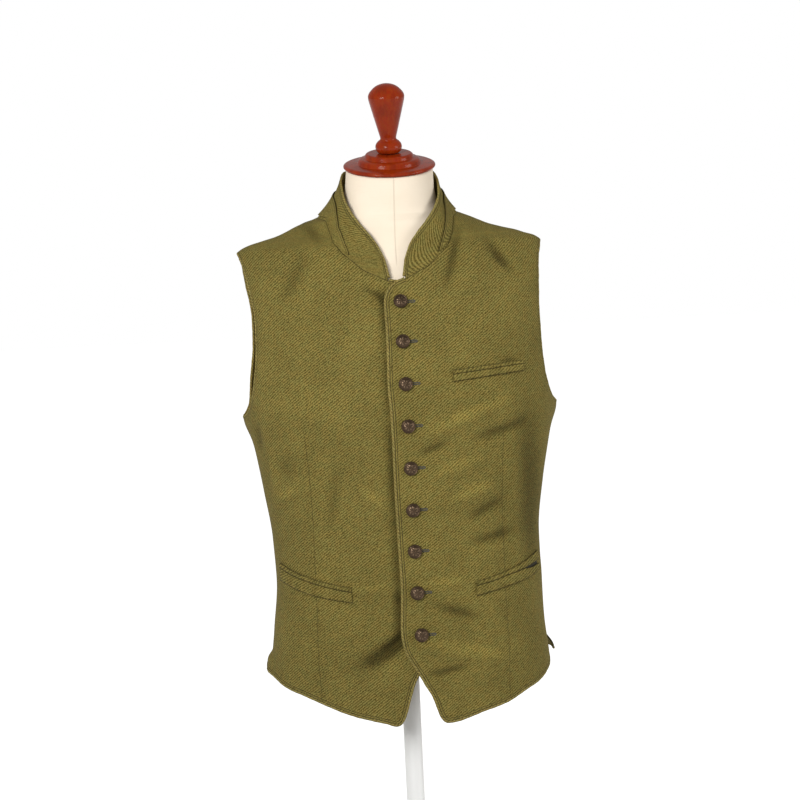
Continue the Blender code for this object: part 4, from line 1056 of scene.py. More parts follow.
class ThreadTree:
    """Node tree that lays short threads along the edges of a mesh."""

    def __init__(self) -> None:
        """Build the tree."""
        self.tree = bpy.data.node_groups.new("lay_threads", "GeometryNodeTree")
        interface = self.tree.interface
        sockets = (
            ("Line", "NodeSocketGeometry"),
            ("Spacing", "NodeSocketFloat"),
            ("Length", "NodeSocketFloat"),
            ("Radius", "NodeSocketFloat"),
            ("Across", "NodeSocketFloat"),
            ("Seed", "NodeSocketInt"),
            ("Thread", "NodeSocketMaterial"),
        )
        self.inputs = {}
        for name, kind in sockets:
            socket = interface.new_socket(name=name, in_out="INPUT", socket_type=kind)
            self.inputs[name] = socket.identifier
        interface.new_socket(name="Threads", in_out="OUTPUT", socket_type="NodeSocketGeometry")
        self._fill()

    def _node(self, kind: str, settings: dict | None = None, links: dict | None = None) -> bpy.types.Node:
        """Add a node, as add_node() does."""
        return add_node(self.tree, kind, settings, links)

    def _fill(self) -> None:
        """Lay the nodes out."""
        source = self._node("NodeGroupInput").outputs
        curve = self._node("GeometryNodeMeshToCurve", links={0: source["Line"]})
        spaced = self._node(
            "GeometryNodeCurveToPoints",
            {"mode": "LENGTH"},
            {"Curve": curve.outputs[0], "Length": source["Spacing"]},
        )
        out = self._node("GeometryNodeInputNamedAttribute", {"data_type": "FLOAT_VECTOR"}, {"Name": "out"})
        cross = self._node(
            "ShaderNodeVectorMath",
            {"operation": "CROSS_PRODUCT"},
            {0: spaced.outputs["Tangent"], 1: out.outputs[0]},
        )
        way = self._node(
            "ShaderNodeMix",
            {"data_type": "VECTOR"},
            {0: source["Across"], 4: spaced.outputs["Tangent"], 5: cross.outputs[0]},
        )
        turn = self._node("FunctionNodeAlignRotationToVector", {"axis": "Z"}, {"Vector": way.outputs[1]})
        size = self._node(
            "FunctionNodeRandomValue",
            {"data_type": "FLOAT_VECTOR"},
            {0: (0.85, 0.85, 0.80), 1: (1.15, 1.15, 1.12), "Seed": source["Seed"]},
        )
        bead = self._node("GeometryNodeMeshUVSphere", links={"Segments": 6, "Rings": 4, "Radius": 1.0})
        half = self._node("ShaderNodeMath", {"operation": "MULTIPLY"}, {0: source["Length"], 1: 0.5})
        shape = self._node(
            "ShaderNodeCombineXYZ",
            links={0: source["Radius"], 1: source["Radius"], 2: half.outputs[0]},
        )
        stitch = self._node(
            "GeometryNodeTransform", links={"Geometry": bead.outputs[0], "Scale": shape.outputs[0]}
        )
        laid = self._node(
            "GeometryNodeInstanceOnPoints",
            links={
                "Points": spaced.outputs[0],
                "Instance": stitch.outputs[0],
                "Rotation": turn.outputs[0],
                "Scale": size.outputs[0],
            },
        )
        real = self._node("GeometryNodeRealizeInstances", links={0: laid.outputs[0]})
        dressed = self._node(
            "GeometryNodeSetMaterial", links={"Geometry": real.outputs[0], "Material": source["Thread"]}
        )
        self._node("NodeGroupOutput", links={0: dressed.outputs[0]})

    def lay(
        self, name: str, lines: Sequence[Line], kind: "Stitch", material: bpy.types.Material, seed: int
    ) -> bpy.types.Object:
        """Sew along lines.

        Args:
            name: Name of the piece.
            lines: The lines, on the cloth.
            kind: Size of the stitches.
            material: Finish of the thread.
            seed: Seed of their unevenness.

        Returns:
            A plain mesh of all the stitches.
        """
        points, outs, edges = [], [], []
        for line in lines:
            start = len(points)
            points += line.points.tolist()
            outs += line.outs.tolist()
            edges += [(start + i, start + i + 1) for i in range(len(line.points) - 1)]
        mesh = bpy.data.meshes.new(f"{name}_line")
        mesh.from_pydata(points, edges, [])
        layer = mesh.attributes.new("out", "FLOAT_VECTOR", "POINT")
        layer.data.foreach_set("vector", np.array(outs, dtype=np.float32).reshape(-1))
        guide = add_object(f"{name}_line", mesh)
        modifier = guide.modifiers.new("threads", "NODES")
        modifier.node_group = self.tree
        values = {
            "Spacing": kind.spacing,
            "Length": kind.length,
            "Radius": kind.radius,
            "Across": kind.across,
            "Seed": seed,
            "Thread": material,
        }
        for key, value in values.items():
            modifier[self.inputs[key]] = value
        graph = bpy.context.evaluated_depsgraph_get()
        sewn = bpy.data.meshes.new_from_object(guide.evaluated_get(graph))
        sewn.name = name
        bpy.data.objects.remove(guide, do_unlink=True)
        sewn.shade_smooth()
        return add_object(name, sewn)


@dataclass(frozen=True)
class Stitch:
    """Size of a stitch."""

    spacing: float
    length: float
    radius: float
    across: float = 0.0


# Finishes


def add_node(
    tree: bpy.types.NodeTree, kind: str, settings: dict | None, links: dict | None
) -> bpy.types.Node:
    """Add a node to a tree.

    Args:
        tree: The tree.
        kind: Type of the node.
        settings: Its properties, set first.
        links: Values, terms or sockets for its inputs, by name or number.

    Returns:
        The node.
    """
    node = tree.nodes.new(kind)
    for name, value in (settings or {}).items():
        setattr(node, name, value)
    for key, value in (links or {}).items():
        feed(tree, node.inputs[key], value)
    return node


def feed(tree: bpy.types.NodeTree, socket: bpy.types.NodeSocket, value: object) -> None:
    """Give a socket its value or link."""
    if isinstance(value, Term):
        value = value.socket
    if isinstance(value, bpy.types.NodeSocket):
        tree.links.new(value, socket)
    else:
        socket.default_value = value


def operator(operation: str, swapped: bool = False) -> Callable:
    """An arithmetic method of a term, which adds a Math node."""

    def apply(first: "Term", second: "Term | float") -> "Term":
        """Work the operation out."""
        return first.graph.maths(operation, *((second, first) if swapped else (first, second)))

    return apply


class Term:
    """A number of a shader that takes part in plain arithmetic."""

    def __init__(self, graph: "Graph", socket: bpy.types.NodeSocket) -> None:
        """Wrap a socket of a graph."""
        self.graph = graph
        self.socket = socket

    __add__ = __radd__ = operator("ADD")
    __mul__ = __rmul__ = operator("MULTIPLY")
    __sub__ = operator("SUBTRACT")
    __rsub__ = operator("SUBTRACT", swapped=True)
    __truediv__ = operator("DIVIDE")

    def __neg__(self) -> "Term":
        """Opposite."""
        return self * -1.0


class Graph:
    """The node tree of a material, with a shader and its output."""

    def __init__(self, name: str) -> None:
        """Start a material."""
        self.material = bpy.data.materials.new(name)
        self.material.use_nodes = True
        self.tree = self.material.node_tree
        self.tree.nodes.clear()
        self.shader = self.node("ShaderNodeBsdfPrincipled")
        self.node("ShaderNodeOutputMaterial", links={"Surface": self.shader.outputs[0]})

    def node(self, kind: str, settings: dict | None = None, links: dict | None = None) -> bpy.types.Node:
        """Add a node, as add_node() does."""
        return add_node(self.tree, kind, settings, links)

    def set(self, **values: object) -> None:
        """Give the shader's sockets their values, with _ for the spaces of their names."""
        for name, value in values.items():
            feed(self.tree, self.shader.inputs[name.replace("_", " ")], value)

    def maths(self, operation: str, *values: "Term | float") -> Term:
        """The result of a Math node."""
        node = self.node("ShaderNodeMath", {"operation": operation}, dict(enumerate(values)))
        return Term(self, node.outputs[0])

    def sine(self, value: Term) -> Term:
        """Sine between 0 and 1."""
        return self.maths("SINE", value) * 0.5 + 0.5

    def bell(self, value: Term, width: float) -> Term:
        """1 where the value is 0, falling off over a width to each side."""
        share = value / width
        return self.maths("EXPONENT", -(share * share))

    def step(self, value: Term, low: float, high: float) -> Term:
        """0 below low, 1 above high, smooth between."""
        node = self.node(
            "ShaderNodeMapRange",
            {"interpolation_type": "SMOOTHSTEP"},
            {"Value": value, "From Min": low, "From Max": high},
        )
        return Term(self, node.outputs[0])

    def mix(self, share: "Term | float", first: object, second: object, blend: str = "MIX") -> object:
        """A colour between two."""
        node = self.node(
            "ShaderNodeMix",
            {"data_type": "RGBA", "blend_type": blend},
            {0: share, 6: first, 7: second},
        )
        return node.outputs[2]

    def times(self, first: object, second: object) -> object:
        """Two colours multiplied."""
        return self.mix(1.0, first, second, "MULTIPLY")

    def over(self, base: object, share: "Term | float", colour: Colour, by: float = 1.0) -> object:
        """A colour with a share of another one, made lighter or darker, laid over it."""
        return self.mix(share, base, tone(colour, by))

    def marked(self, base: object, value: Term, mark: Mark, colour: Colour) -> object:
        """A colour laid over another where a value rises; the mark is low, high, share and tone."""
        low, high, share, by = mark
        return self.over(base, self.step(value, low, high) * share, colour, by)

    def ramp(self, value: Term, mark: Mark) -> Term:
        """A number that grows with a value; the mark is low, high, growth and least."""
        low, high, growth, least = mark
        return self.step(value, low, high) * growth + least

    def surface(
        self, colour: object, roughness: "Term | float", metallic: float = 0.0, specular: float = 0.5
    ) -> None:
        """Colour and gloss of the surface."""
        self.set(Base_Color=colour, Roughness=roughness, Metallic=metallic, Specular_IOR_Level=specular)

    def vector(self, x: "Term | float", y: "Term | float", z: "Term | float" = 0.0) -> bpy.types.NodeSocket:
        """A vector of three numbers."""
        return self.node("ShaderNodeCombineXYZ", links={0: x, 1: y, 2: z}).outputs[0]

    def split(self, vector: bpy.types.NodeSocket) -> tuple[Term, Term, Term]:
        """The three numbers of a vector."""
        node = self.node("ShaderNodeSeparateXYZ", links={0: vector})
        return tuple(Term(self, socket) for socket in node.outputs)

    def chart(self, name: str) -> tuple[Term, Term]:
        """The two numbers of a pattern map."""
        return self.split(self.node("ShaderNodeUVMap", {"uv_map": name}).outputs[0])[:2]

    def mark(self, name: str) -> Term:
        """A mark of the mesh."""
        node = self.node("ShaderNodeAttribute", {"attribute_name": name})
        return Term(self, node.outputs["Fac"])

    def place(self) -> bpy.types.NodeSocket:
        """Place in the object."""
        return self.node("ShaderNodeTexCoord").outputs["Object"]

    def noise(self, vector: bpy.types.NodeSocket, scale: float, detail: float = 2.0) -> Term:
        """Cloudy unevenness between 0 and 1."""
        node = self.node("ShaderNodeTexNoise", links={"Vector": vector, "Scale": scale, "Detail": detail})
        return Term(self, node.outputs[0])

    def bump(self, height: Term, distance: float, strength: float = 1.0) -> None:
        """Raise the surface by a height between 0 and 1 of a distance."""
        node = self.node(
            "ShaderNodeBump", links={"Height": height, "Distance": distance, "Strength": strength}
        )
        self.set(Normal=node.outputs[0])


def tone(colour: Colour, by: float = 1.0) -> tuple[float, float, float, float]:
    """A colour made lighter or darker, with its alpha."""
    return (colour[0] * by, colour[1] * by, colour[2] * by, 1.0)


@dataclass(frozen=True)
class Finish:
    """A finish with a name of its own."""

    name: str

    def dress(self, graph: Graph) -> None:
        """Fill the finish's graph."""
        raise NotImplementedError

    def material(self) -> bpy.types.Material:
        """The finish's material, made once."""
        found = bpy.data.materials.get(self.name)
        if found is None:
            graph = Graph(self.name)
            self.dress(graph)
            found = graph.material
        return found


@dataclass(frozen=True)
class Pucker:
    """Short puckers beside a seam, with the marks of the painted highlight on their raised side and the
    painted shade on their sunk side.
    """

    reach: float
    pace: Pair
    layer: float
    detail: float
    light: Mark
    dark: Mark
    relief: float


@dataclass(frozen=True)
class Twill(Finish):
    """Worn olive twill with fine diagonal ribs, rubbed edges and sewn lines, with painted highlight and
    shade on its folds, puckers and grooves.
    """

    light: Colour = (0.242, 0.192, 0.050)
    dark: Colour = (0.066, 0.051, 0.009)
    deep: Colour = (0.042, 0.032, 0.008)
    warm: Colour = (1.04, 0.995, 0.97)
    green: Colour = (0.96, 1.005, 1.02)
    # ridge and furrow: painted highlight on the tops of the creases and painted shade in their troughs
    ridge: Colour = (1.26, 1.25, 1.22)
    furrow: Colour = (0.36, 0.35, 0.30)
    rib: Pair = (0.0044, 0.0033)
    noises: tuple[Place, ...] = ((0.0, 420.0, 2.0), (0.3, 1000.0, 1.0), (1.7, 120.0, 1.0), (3.1, 24.0, 3.0))
    rib_waver: float = 1.1
    weave_shares: Place = (0.25, 0.75, 0.24)
    weave_band: Pair = (0.36, 0.64)
    hue_band: Pair = (0.34, 0.66)
    cloud_band: Pair = (0.32, 0.68)
    cloud_tones: Pair = (0.92, 1.06)
    # Crease heights in mm over which the painted highlight and the painted shade grow
    ridge_band: Pair = (0.1, 2.0)
    furrow_band: Pair = (0.1, 3.8)
    relief: Pair = (0.20, 0.35)
    raise_by: Pair = (0.0006, 0.5)
    roughness: float = 0.90
    specular: float = 0.12
    stitch: float = 0.0026
    rubbed_pace: Place = (90.0, 60.0, 2.0)
    rubbed_band: Pair = (0.25, 0.60)
    rubbed_share: float = 0.70
    rubbed_tone: float = 1.15
    # Lighter strips inside the edges: rubbed wear, with painted highlight on the raised cloth and its puffs
    # between the stitches
    first_strip: Pair = (0.0014, 0.0006)
    dotted_strip: Pair = (0.0044, 0.0010)
    # The second sewn line and the ditch at the edge are darkened as painted shade in their grooves
    second_line: Pair = (0.0027, 0.0006)
    second_depths: Pair = (0.90, 0.8)
    ditch: float = 0.0008
    ditch_depths: Pair = (0.80, 0.6)
    ditch_tone: float = 0.8
    # Puckers beside the edges and the dart, with painted highlight on their swells and painted shade in
    # their hollows
    edge_pucker: Pucker = Pucker(
        0.0060, (190.0, 34.0), 0.2, 1.0, (0.04, 0.20, 0.30, 1.0), (-0.04, -0.20, 0.35, 0.9), 2.0
    )
    dart_pucker: Pucker = Pucker(
        0.0050, (170.0, 70.0), 0.9, 2.0, (0.05, 0.20, 0.50, 1.1), (-0.04, -0.18, 0.40, 0.9), 2.4
    )
    dart_foot: Pair = (0.165, 0.190)
    dart_top: Pair = (0.523, 0.505)
    dart_jump: float = 7.3
    dart_seam: float = 0.0005
    dart_depths: Pair = (0.45, 0.9)
    edged: bool = False
    darted: bool = False

    def dress(self, graph: Graph) -> None:
        """Weave, unevenness, painted highlight on ridges and painted shade in furrows, seams and puckers.
        """
        u, v = graph.chart("weave")
        broken, fleck, hue, cloud = (
            graph.noise(graph.vector(u, v, layer), scale, detail) for layer, scale, detail in self.noises
        )
        broken = broken - 0.5
        rib = graph.sine((u / self.rib[0] - v / self.rib[1] + broken * self.rib_waver) * TURN)
        ribs, flecks, breaks = self.weave_shares
        value = rib * ribs + fleck * flecks + broken * breaks
        cloth = graph.mix(graph.step(value, *self.weave_band), tone(self.dark), tone(self.light))
        tint = graph.mix(graph.step(hue, *self.hue_band), tone(self.warm), tone(self.green))
        tones = (tone(WHITE, by) for by in self.cloud_tones)
        shade = graph.mix(graph.step(cloud, *self.cloud_band), *tones)
        cloth = graph.times(graph.times(cloth, tint), shade)
        height = rib * self.relief[0] + fleck * self.relief[1]
        if self.edged:
            # Painted highlight on the crease ridges and painted shade in their troughs, from the creases'
            # height
            wear = graph.mark("wear")
            raised = graph.mix(graph.step(wear, *self.ridge_band), tone(WHITE), tone(self.ridge))
            painted_furrow_shade = graph.mix(graph.step(-wear, *self.furrow_band), tone(WHITE), tone(self.furrow))
            cloth = graph.times(graph.times(cloth, raised), painted_furrow_shade)
            cloth, height = self._edges(graph, cloth, height)
        if self.darted:
            cloth, height = self._dart(graph, cloth, height)
        graph.surface(cloth, self.roughness, specular=self.specular)
        graph.bump(height, *self.raise_by)

    def _edges(self, graph: Graph, cloth: object, height: Term) -> tuple[object, Term]:
        """Painted shade in the ditches and along the second sewn line, lighter strips that are rubbed and
        carry painted highlight, and the puckers beside the edges.
        """
        place, off = graph.chart("edge")
        sewn = graph.mark("sewn")
        dots = graph.sine(place * (TURN / self.stitch))
        near = graph.maths("EXPONENT", off / -self.edge_pucker.reach)
        run = place * self.edge_pucker.pace[0]
        cloth, height = self._pucker(graph, cloth, height, self.edge_pucker, (run, off, near))
        along, out, layer = self.rubbed_pace
        rubbed = graph.noise(graph.vector(place * along, off * out, layer), 1.0, 2.0)
        first, dotted, second = (
            graph.bell(off - at, width)
            for at, width in (self.first_strip, self.dotted_strip, self.second_line)
        )
        # Lighter strips broken by rubbed noise: rubbed wear with painted highlight on the raised cloth
        # between the stitches
        strip = (first + dotted * dots * 0.5) * sewn * graph.step(rubbed, *self.rubbed_band)
        # Painted shade in the stitch holes of the second line and in the ditch at the edge
        second = second * (dots * 0.5 + 0.5) * sewn
        ditch = graph.bell(off, self.ditch)
        cloth = graph.over(cloth, strip * self.rubbed_share, self.light, self.rubbed_tone)
        cloth = graph.over(cloth, second * self.second_depths[0], self.deep)
        cloth = graph.over(cloth, ditch * self.ditch_depths[0], self.deep, self.ditch_tone)
        return cloth, height - second * self.second_depths[1] - ditch * self.ditch_depths[1]

    def _dart(self, graph: Graph, cloth: object, height: Term) -> tuple[object, Term]:
        """The dart's seam with its short puckers."""
        off, along = graph.chart("dart")
        there = graph.step(along, *self.dart_foot) * graph.step(along, *self.dart_top)
        apart = graph.maths("ABSOLUTE", off)
        near = graph.maths("EXPONENT", apart / -self.dart_pucker.reach) * there
        run = along * self.dart_pucker.pace[0] + graph.maths("SIGN", off) * self.dart_jump
        cloth, height = self._pucker(graph, cloth, height, self.dart_pucker, (run, apart, near))
        seam = graph.bell(off, self.dart_seam) * there
        cloth = graph.over(cloth, seam * self.dart_depths[0], self.deep)
        return cloth, height - seam * self.dart_depths[1]

    def _pucker(
        self, graph: Graph, cloth: object, height: Term, kind: Pucker, where: tuple[Term, Term, Term]
    ) -> tuple[object, Term]:
        """Short puckers with painted highlight where they swell and painted shade where they sink, by how
        they run, the distance from the seam and its nearness.
        """
        run, apart, near = where
        swell = graph.noise(graph.vector(run, apart * kind.pace[1], kind.layer), 1.0, kind.detail) - 0.5
        swell = swell * near
        # Painted highlight on the swells and painted shade in the hollows
        cloth = graph.marked(cloth, swell, kind.light, self.light)
        cloth = graph.marked(cloth, swell, kind.dark, self.dark)
        return cloth, height + swell * kind.relief


@dataclass(frozen=True)
class Thread(Finish):
    """Spun thread."""

    colour: Colour = (0.060, 0.049, 0.016)
    fibre: float = 2600.0
    tones: Pair = (0.6, 1.5)
    roughness: float = 0.78
    specular: float = 0.3

    def dress(self, graph: Graph) -> None:
        """Slight unevenness of the spun fibres."""
        fibre = graph.noise(graph.place(), self.fibre, 1.0)
        spun = graph.mix(fibre, *(tone(self.colour, by) for by in self.tones))
        graph.surface(spun, self.roughness, specular=self.specular)


@dataclass(frozen=True)
class Bronze(Finish):
    """Dark antique bronze, brighter where it is rubbed."""

    colour: Colour = (0.066, 0.041, 0.023)
    rubbed: Colour = (0.420, 0.290, 0.180)
    cavity: Colour = (0.012, 0.008, 0.006)
    mottle: Pair = (420.0, 3.0)
    tarnish_mark: Mark = (0.35, 0.70, 0.45, 0.55)
    rubbed_mark: Mark = (0.00006, 0.00026, 0.22, 1.0)
    cavity_mark: Mark = (0.00002, 0.00018, 0.8, 1.0)
    gloss: Mark = (0.2, 0.9, 0.22, 0.30)
    metallic: float = 0.85
    raise_by: Pair = (0.0002, 0.4)

    def dress(self, graph: Graph) -> None:
        """Dark hollows, rubbed heights and a mottled tarnish."""
        relief = graph.mark("cavity")
        tarnish = graph.noise(graph.place(), *self.mottle)
        metal = graph.marked(tone(self.colour), tarnish, self.tarnish_mark, self.colour)
        metal = graph.marked(metal, relief, self.rubbed_mark, self.rubbed)
        metal = graph.marked(metal, -relief, self.cavity_mark, self.cavity)
        graph.surface(metal, graph.ramp(tarnish, self.gloss), self.metallic)
        graph.bump(tarnish, *self.raise_by)


@dataclass(frozen=True)
class Linen(Finish):
    """Cream linen stretched over the form."""

    colour: Colour = (0.860, 0.750, 0.600)
    shade: Colour = (0.780, 0.650, 0.480)
    thread: float = 0.0011
    waver: Pair = (300.0, 0.6)
    slub: Place = (40.0, 40.0, 700.0)
    slub_mark: Mark = (0.55, 0.75, 0.10, 0.9)
    blotch: Pair = (26.0, 3.0)
    blotch_band: Pair = (0.35, 0.70)
    blotch_share: float = 0.20
    seam_x: float = 0.0030
    seam_from: float = 0.7000
    seam_fade: float = 0.01
    seam_lean: Pair = (0.74, 0.02)
    seam_width: float = 0.0007
    seam_share: float = 0.45
    seam_tone: float = 0.62
    beside: float = 0.0045
    reliefs: tuple[float, float, float, float] = (0.4, 0.3, 1.5, 0.8)
    raise_by: Pair = (0.0005, 0.5)
    roughness: float = 0.9
    specular: float = 0.2

    def dress(self, graph: Graph) -> None:
        """Plain weave, faint blotches and the seam down the throat."""
        x, y, z = graph.split(graph.place())
        scale, share = self.waver
        wobble = graph.noise(graph.place(), scale, 1.0)
        warp, weft = (graph.sine((at / self.thread + wobble * share) * TURN) for at in (x, z))
        slub = graph.noise(graph.vector(*(at * by for at, by in zip((x, y, z), self.slub))), 1.0, 2.0)
        blotch = graph.noise(graph.place(), *self.blotch)
        front = graph.step(y, 0.0, -self.seam_fade)
        front = front * graph.step(z, self.seam_from, self.seam_from + self.seam_fade)
        height, lean = self.seam_lean
        seam = graph.bell(x - self.seam_x - (z - height) * lean, self.seam_width) * front
        beside = graph.bell(x - self.seam_x, self.beside) * front
        spots = graph.step(blotch, *self.blotch_band) * self.blotch_share
        cloth = graph.over(tone(self.colour), spots, self.shade)
        cloth = graph.marked(cloth, slub, self.slub_mark, self.shade)
        cloth = graph.over(cloth, seam * self.seam_share, self.shade, self.seam_tone)
        graph.surface(cloth, self.roughness, specular=self.specular)
        weave, slubs, ditch, lip = self.reliefs
        graph.bump(warp * weft * weave + slub * slubs - seam * ditch + beside * lip, *self.raise_by)


@dataclass(frozen=True)
class Mahogany(Finish):
    """Turned mahogany under an old glossy polish."""

    colour: Colour = (0.260, 0.020, 0.002)
    dark: Colour = (0.100, 0.009, 0.002)
    glow: Colour = (0.430, 0.050, 0.003)
    sway: Place = (30.0, 2.0, 0.006)
    grain: Pair = (420.0, 26.0)
    grain_band: Pair = (0.34, 0.68)
    grain_tone: float = 0.62
    figure: Pair = (90.0, 9.0)
    figure_mark: Mark = (0.42, 0.66, 0.5, 1.5)
    pores: Pair = (2400.0, 120.0)
    pore_mark: Mark = (0.60, 0.74, 0.45, 1.0)
    rings: float = 5200.0
    gloss: Mark = (0.3, 0.8, 0.10, 0.17)
    coat: Pair = (0.16, 0.04)
    specular: float = 0.06
    reliefs: Place = (0.5, 0.3, 0.12)
    raise_by: Pair = (0.0003, 0.35)

    def dress(self, graph: Graph) -> None:
        """Long grain, fine pores and slight turning marks."""
        x, y, z = graph.split(graph.place())
        scale, detail, size = self.sway
        sway = graph.noise(graph.place(), scale, detail) * size
        across, up = self.grain
        grain = graph.noise(graph.vector((x + sway) * across, (y + sway) * across, z * up), 1.0, 4.0)
        across, up = self.figure
        figure = graph.noise(graph.vector((x + sway) * across, y * across, z * up), 1.0, 2.0)
        across, up = self.pores
        pores = graph.noise(graph.vector(x * across, y * across, z * up), 1.0, 1.0)
        glow = graph.step(grain, *self.grain_band)
        wood = graph.over(tone(self.colour), glow, self.glow, self.grain_tone)
        wood = graph.marked(wood, figure, self.figure_mark, self.dark)
        wood = graph.marked(wood, pores, self.pore_mark, self.dark)
        graph.surface(wood, graph.ramp(grain, self.gloss), specular=self.specular)
        graph.set(Coat_Weight=self.coat[0], Coat_Roughness=self.coat[1])
        grains, holes, turned = self.reliefs
        graph.bump(grain * grains + pores * holes + graph.sine(z * self.rings) * turned, *self.raise_by)


@dataclass(frozen=True)
class Paint(Finish):
    """White paint with a slight orange peel and faint scuffs."""

    colour: Colour = (0.860, 0.860, 0.845)
    peel: Pair = (900.0, 1.0)
    scuffs: Pair = (22.0, 4.0)
    scuff_mark: Mark = (0.55, 0.75, 0.10, 0.82)
    gloss: Mark = (0.4, 0.8, 0.18, 0.34)
    raise_by: Pair = (0.0002, 0.25)

    def dress(self, graph: Graph) -> None:
        """Orange peel, and scuffs that dull the gloss."""
        peel = graph.noise(graph.place(), *self.peel)
        scuff = graph.noise(graph.place(), *self.scuffs)
        paint = graph.marked(tone(self.colour), scuff, self.scuff_mark, self.colour)
        graph.surface(paint, graph.ramp(scuff, self.gloss))
        graph.bump(peel, *self.raise_by)


@dataclass(frozen=True)
class Plaster(Finish):
    """Pale matt studio floor."""

    colour: Colour = (0.93, 0.93, 0.93)
    cloud_share: float = 0.1
    cloud_tone: float = 0.97
    roughness: float = 0.95
    specular: float = 0.1
    glow: float = 0.62

    def dress(self, graph: Graph) -> None:
        """Faint unevenness."""
        cloud = graph.noise(graph.place(), 2.0, 2.0)
        floor = graph.over(tone(self.colour), cloud * self.cloud_share, self.colour, self.cloud_tone)
        graph.surface(floor, self.roughness, specular=self.specular)
        graph.set(Emission_Color=tone(WHITE), Emission_Strength=self.glow)


FRONT_CLOTH = Twill("olive_twill_front", edged=True, darted=True)
BACK_CLOTH = Twill("olive_twill_back", edged=True)
TRIM_CLOTH = Twill("olive_twill_trim", light=(0.290, 0.232, 0.072), dark=(0.115, 0.088, 0.022))
STRIP_CLOTH = Twill("olive_twill_strip", edged=True)
# Sewing thread darker than the cloth's olive, as painted shade of the stitches sunk in their holes
SEWING = Thread("olive_thread", colour=(0.050, 0.040, 0.014))
BUTTONHOLE_THREAD = Thread("slate_thread", colour=(0.075, 0.070, 0.052))
# Near-black finish of the sheet in each pocket's mouth: painted shadow
POCKET_SHADE = Thread("pocket_lining", colour=(0.022, 0.018, 0.008))
BRONZE = Bronze("antique_bronze")
LINEN = Linen("cream_linen")
MAHOGANY = Mahogany("polished_mahogany")
WHITE_PAINT = Paint("white_paint")
FLOOR = Plaster("studio_floor")


def dress(piece: bpy.types.Object, finish: Finish, slot: Slot, *nodes: str) -> bpy.types.Object:
    """Finish a piece.

    Args:
        piece: The piece.
        finish: Its finish.
        slot: The finish slot that it belongs to; not used.
        nodes: The solids that it stands for.

    Returns:
        The piece.
    """
    piece.data.materials.clear()
    piece.data.materials.append(finish.material())
    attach(piece, "root")
    if nodes:
        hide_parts(*nodes)
    return piece


# The garment


@dataclass
class Trimmer:
    """Rolls bindings beside edges and sews lines inside them."""

    threads: ThreadTree
    stitch: Stitch = Stitch(0.0026, 0.0013, 0.00028)
    thread: Finish = SEWING
    roll: Pair = (0.00170, 0.00140)
    outside: float = 0.00145
    reaches: Pair = (0.0004, 0.0028)
    clear: float = 0.90
    lift: float = 0.00005

    def bind(self, name: str, edge: Line, open_side: Sequence[float], closed: bool = False) -> None:
        """Roll a binding beside an edge, on the side where the cloth ends."""
        line = edge.beside(open_side, self.outside, closed).raised(0.5 * CLOTH_WALL)
        roll = tube_object(f"{name}_roll", line, *self.roll, closed)
        dress(roll, TRIM_CLOTH, Slot.BINDING, name)

    def inside(self, face: OuterFace, edge: Line, open_side: Sequence[float], reach: float) -> Line:
        """A line of sewing inside an edge, laid on the cloth."""
        line = edge.beside(open_side, -reach).clear_of(edge.points, self.clear * reach)
        return face.drop(line, self.lift)

    def sew(self, name: str, lines: Sequence[Line], seed: int) -> None:
        """Sew along lines."""
        sewn = self.threads.lay(name, lines, self.stitch, self.thread.material(), seed)
        dress(sewn, self.thread, Slot.BINDING)


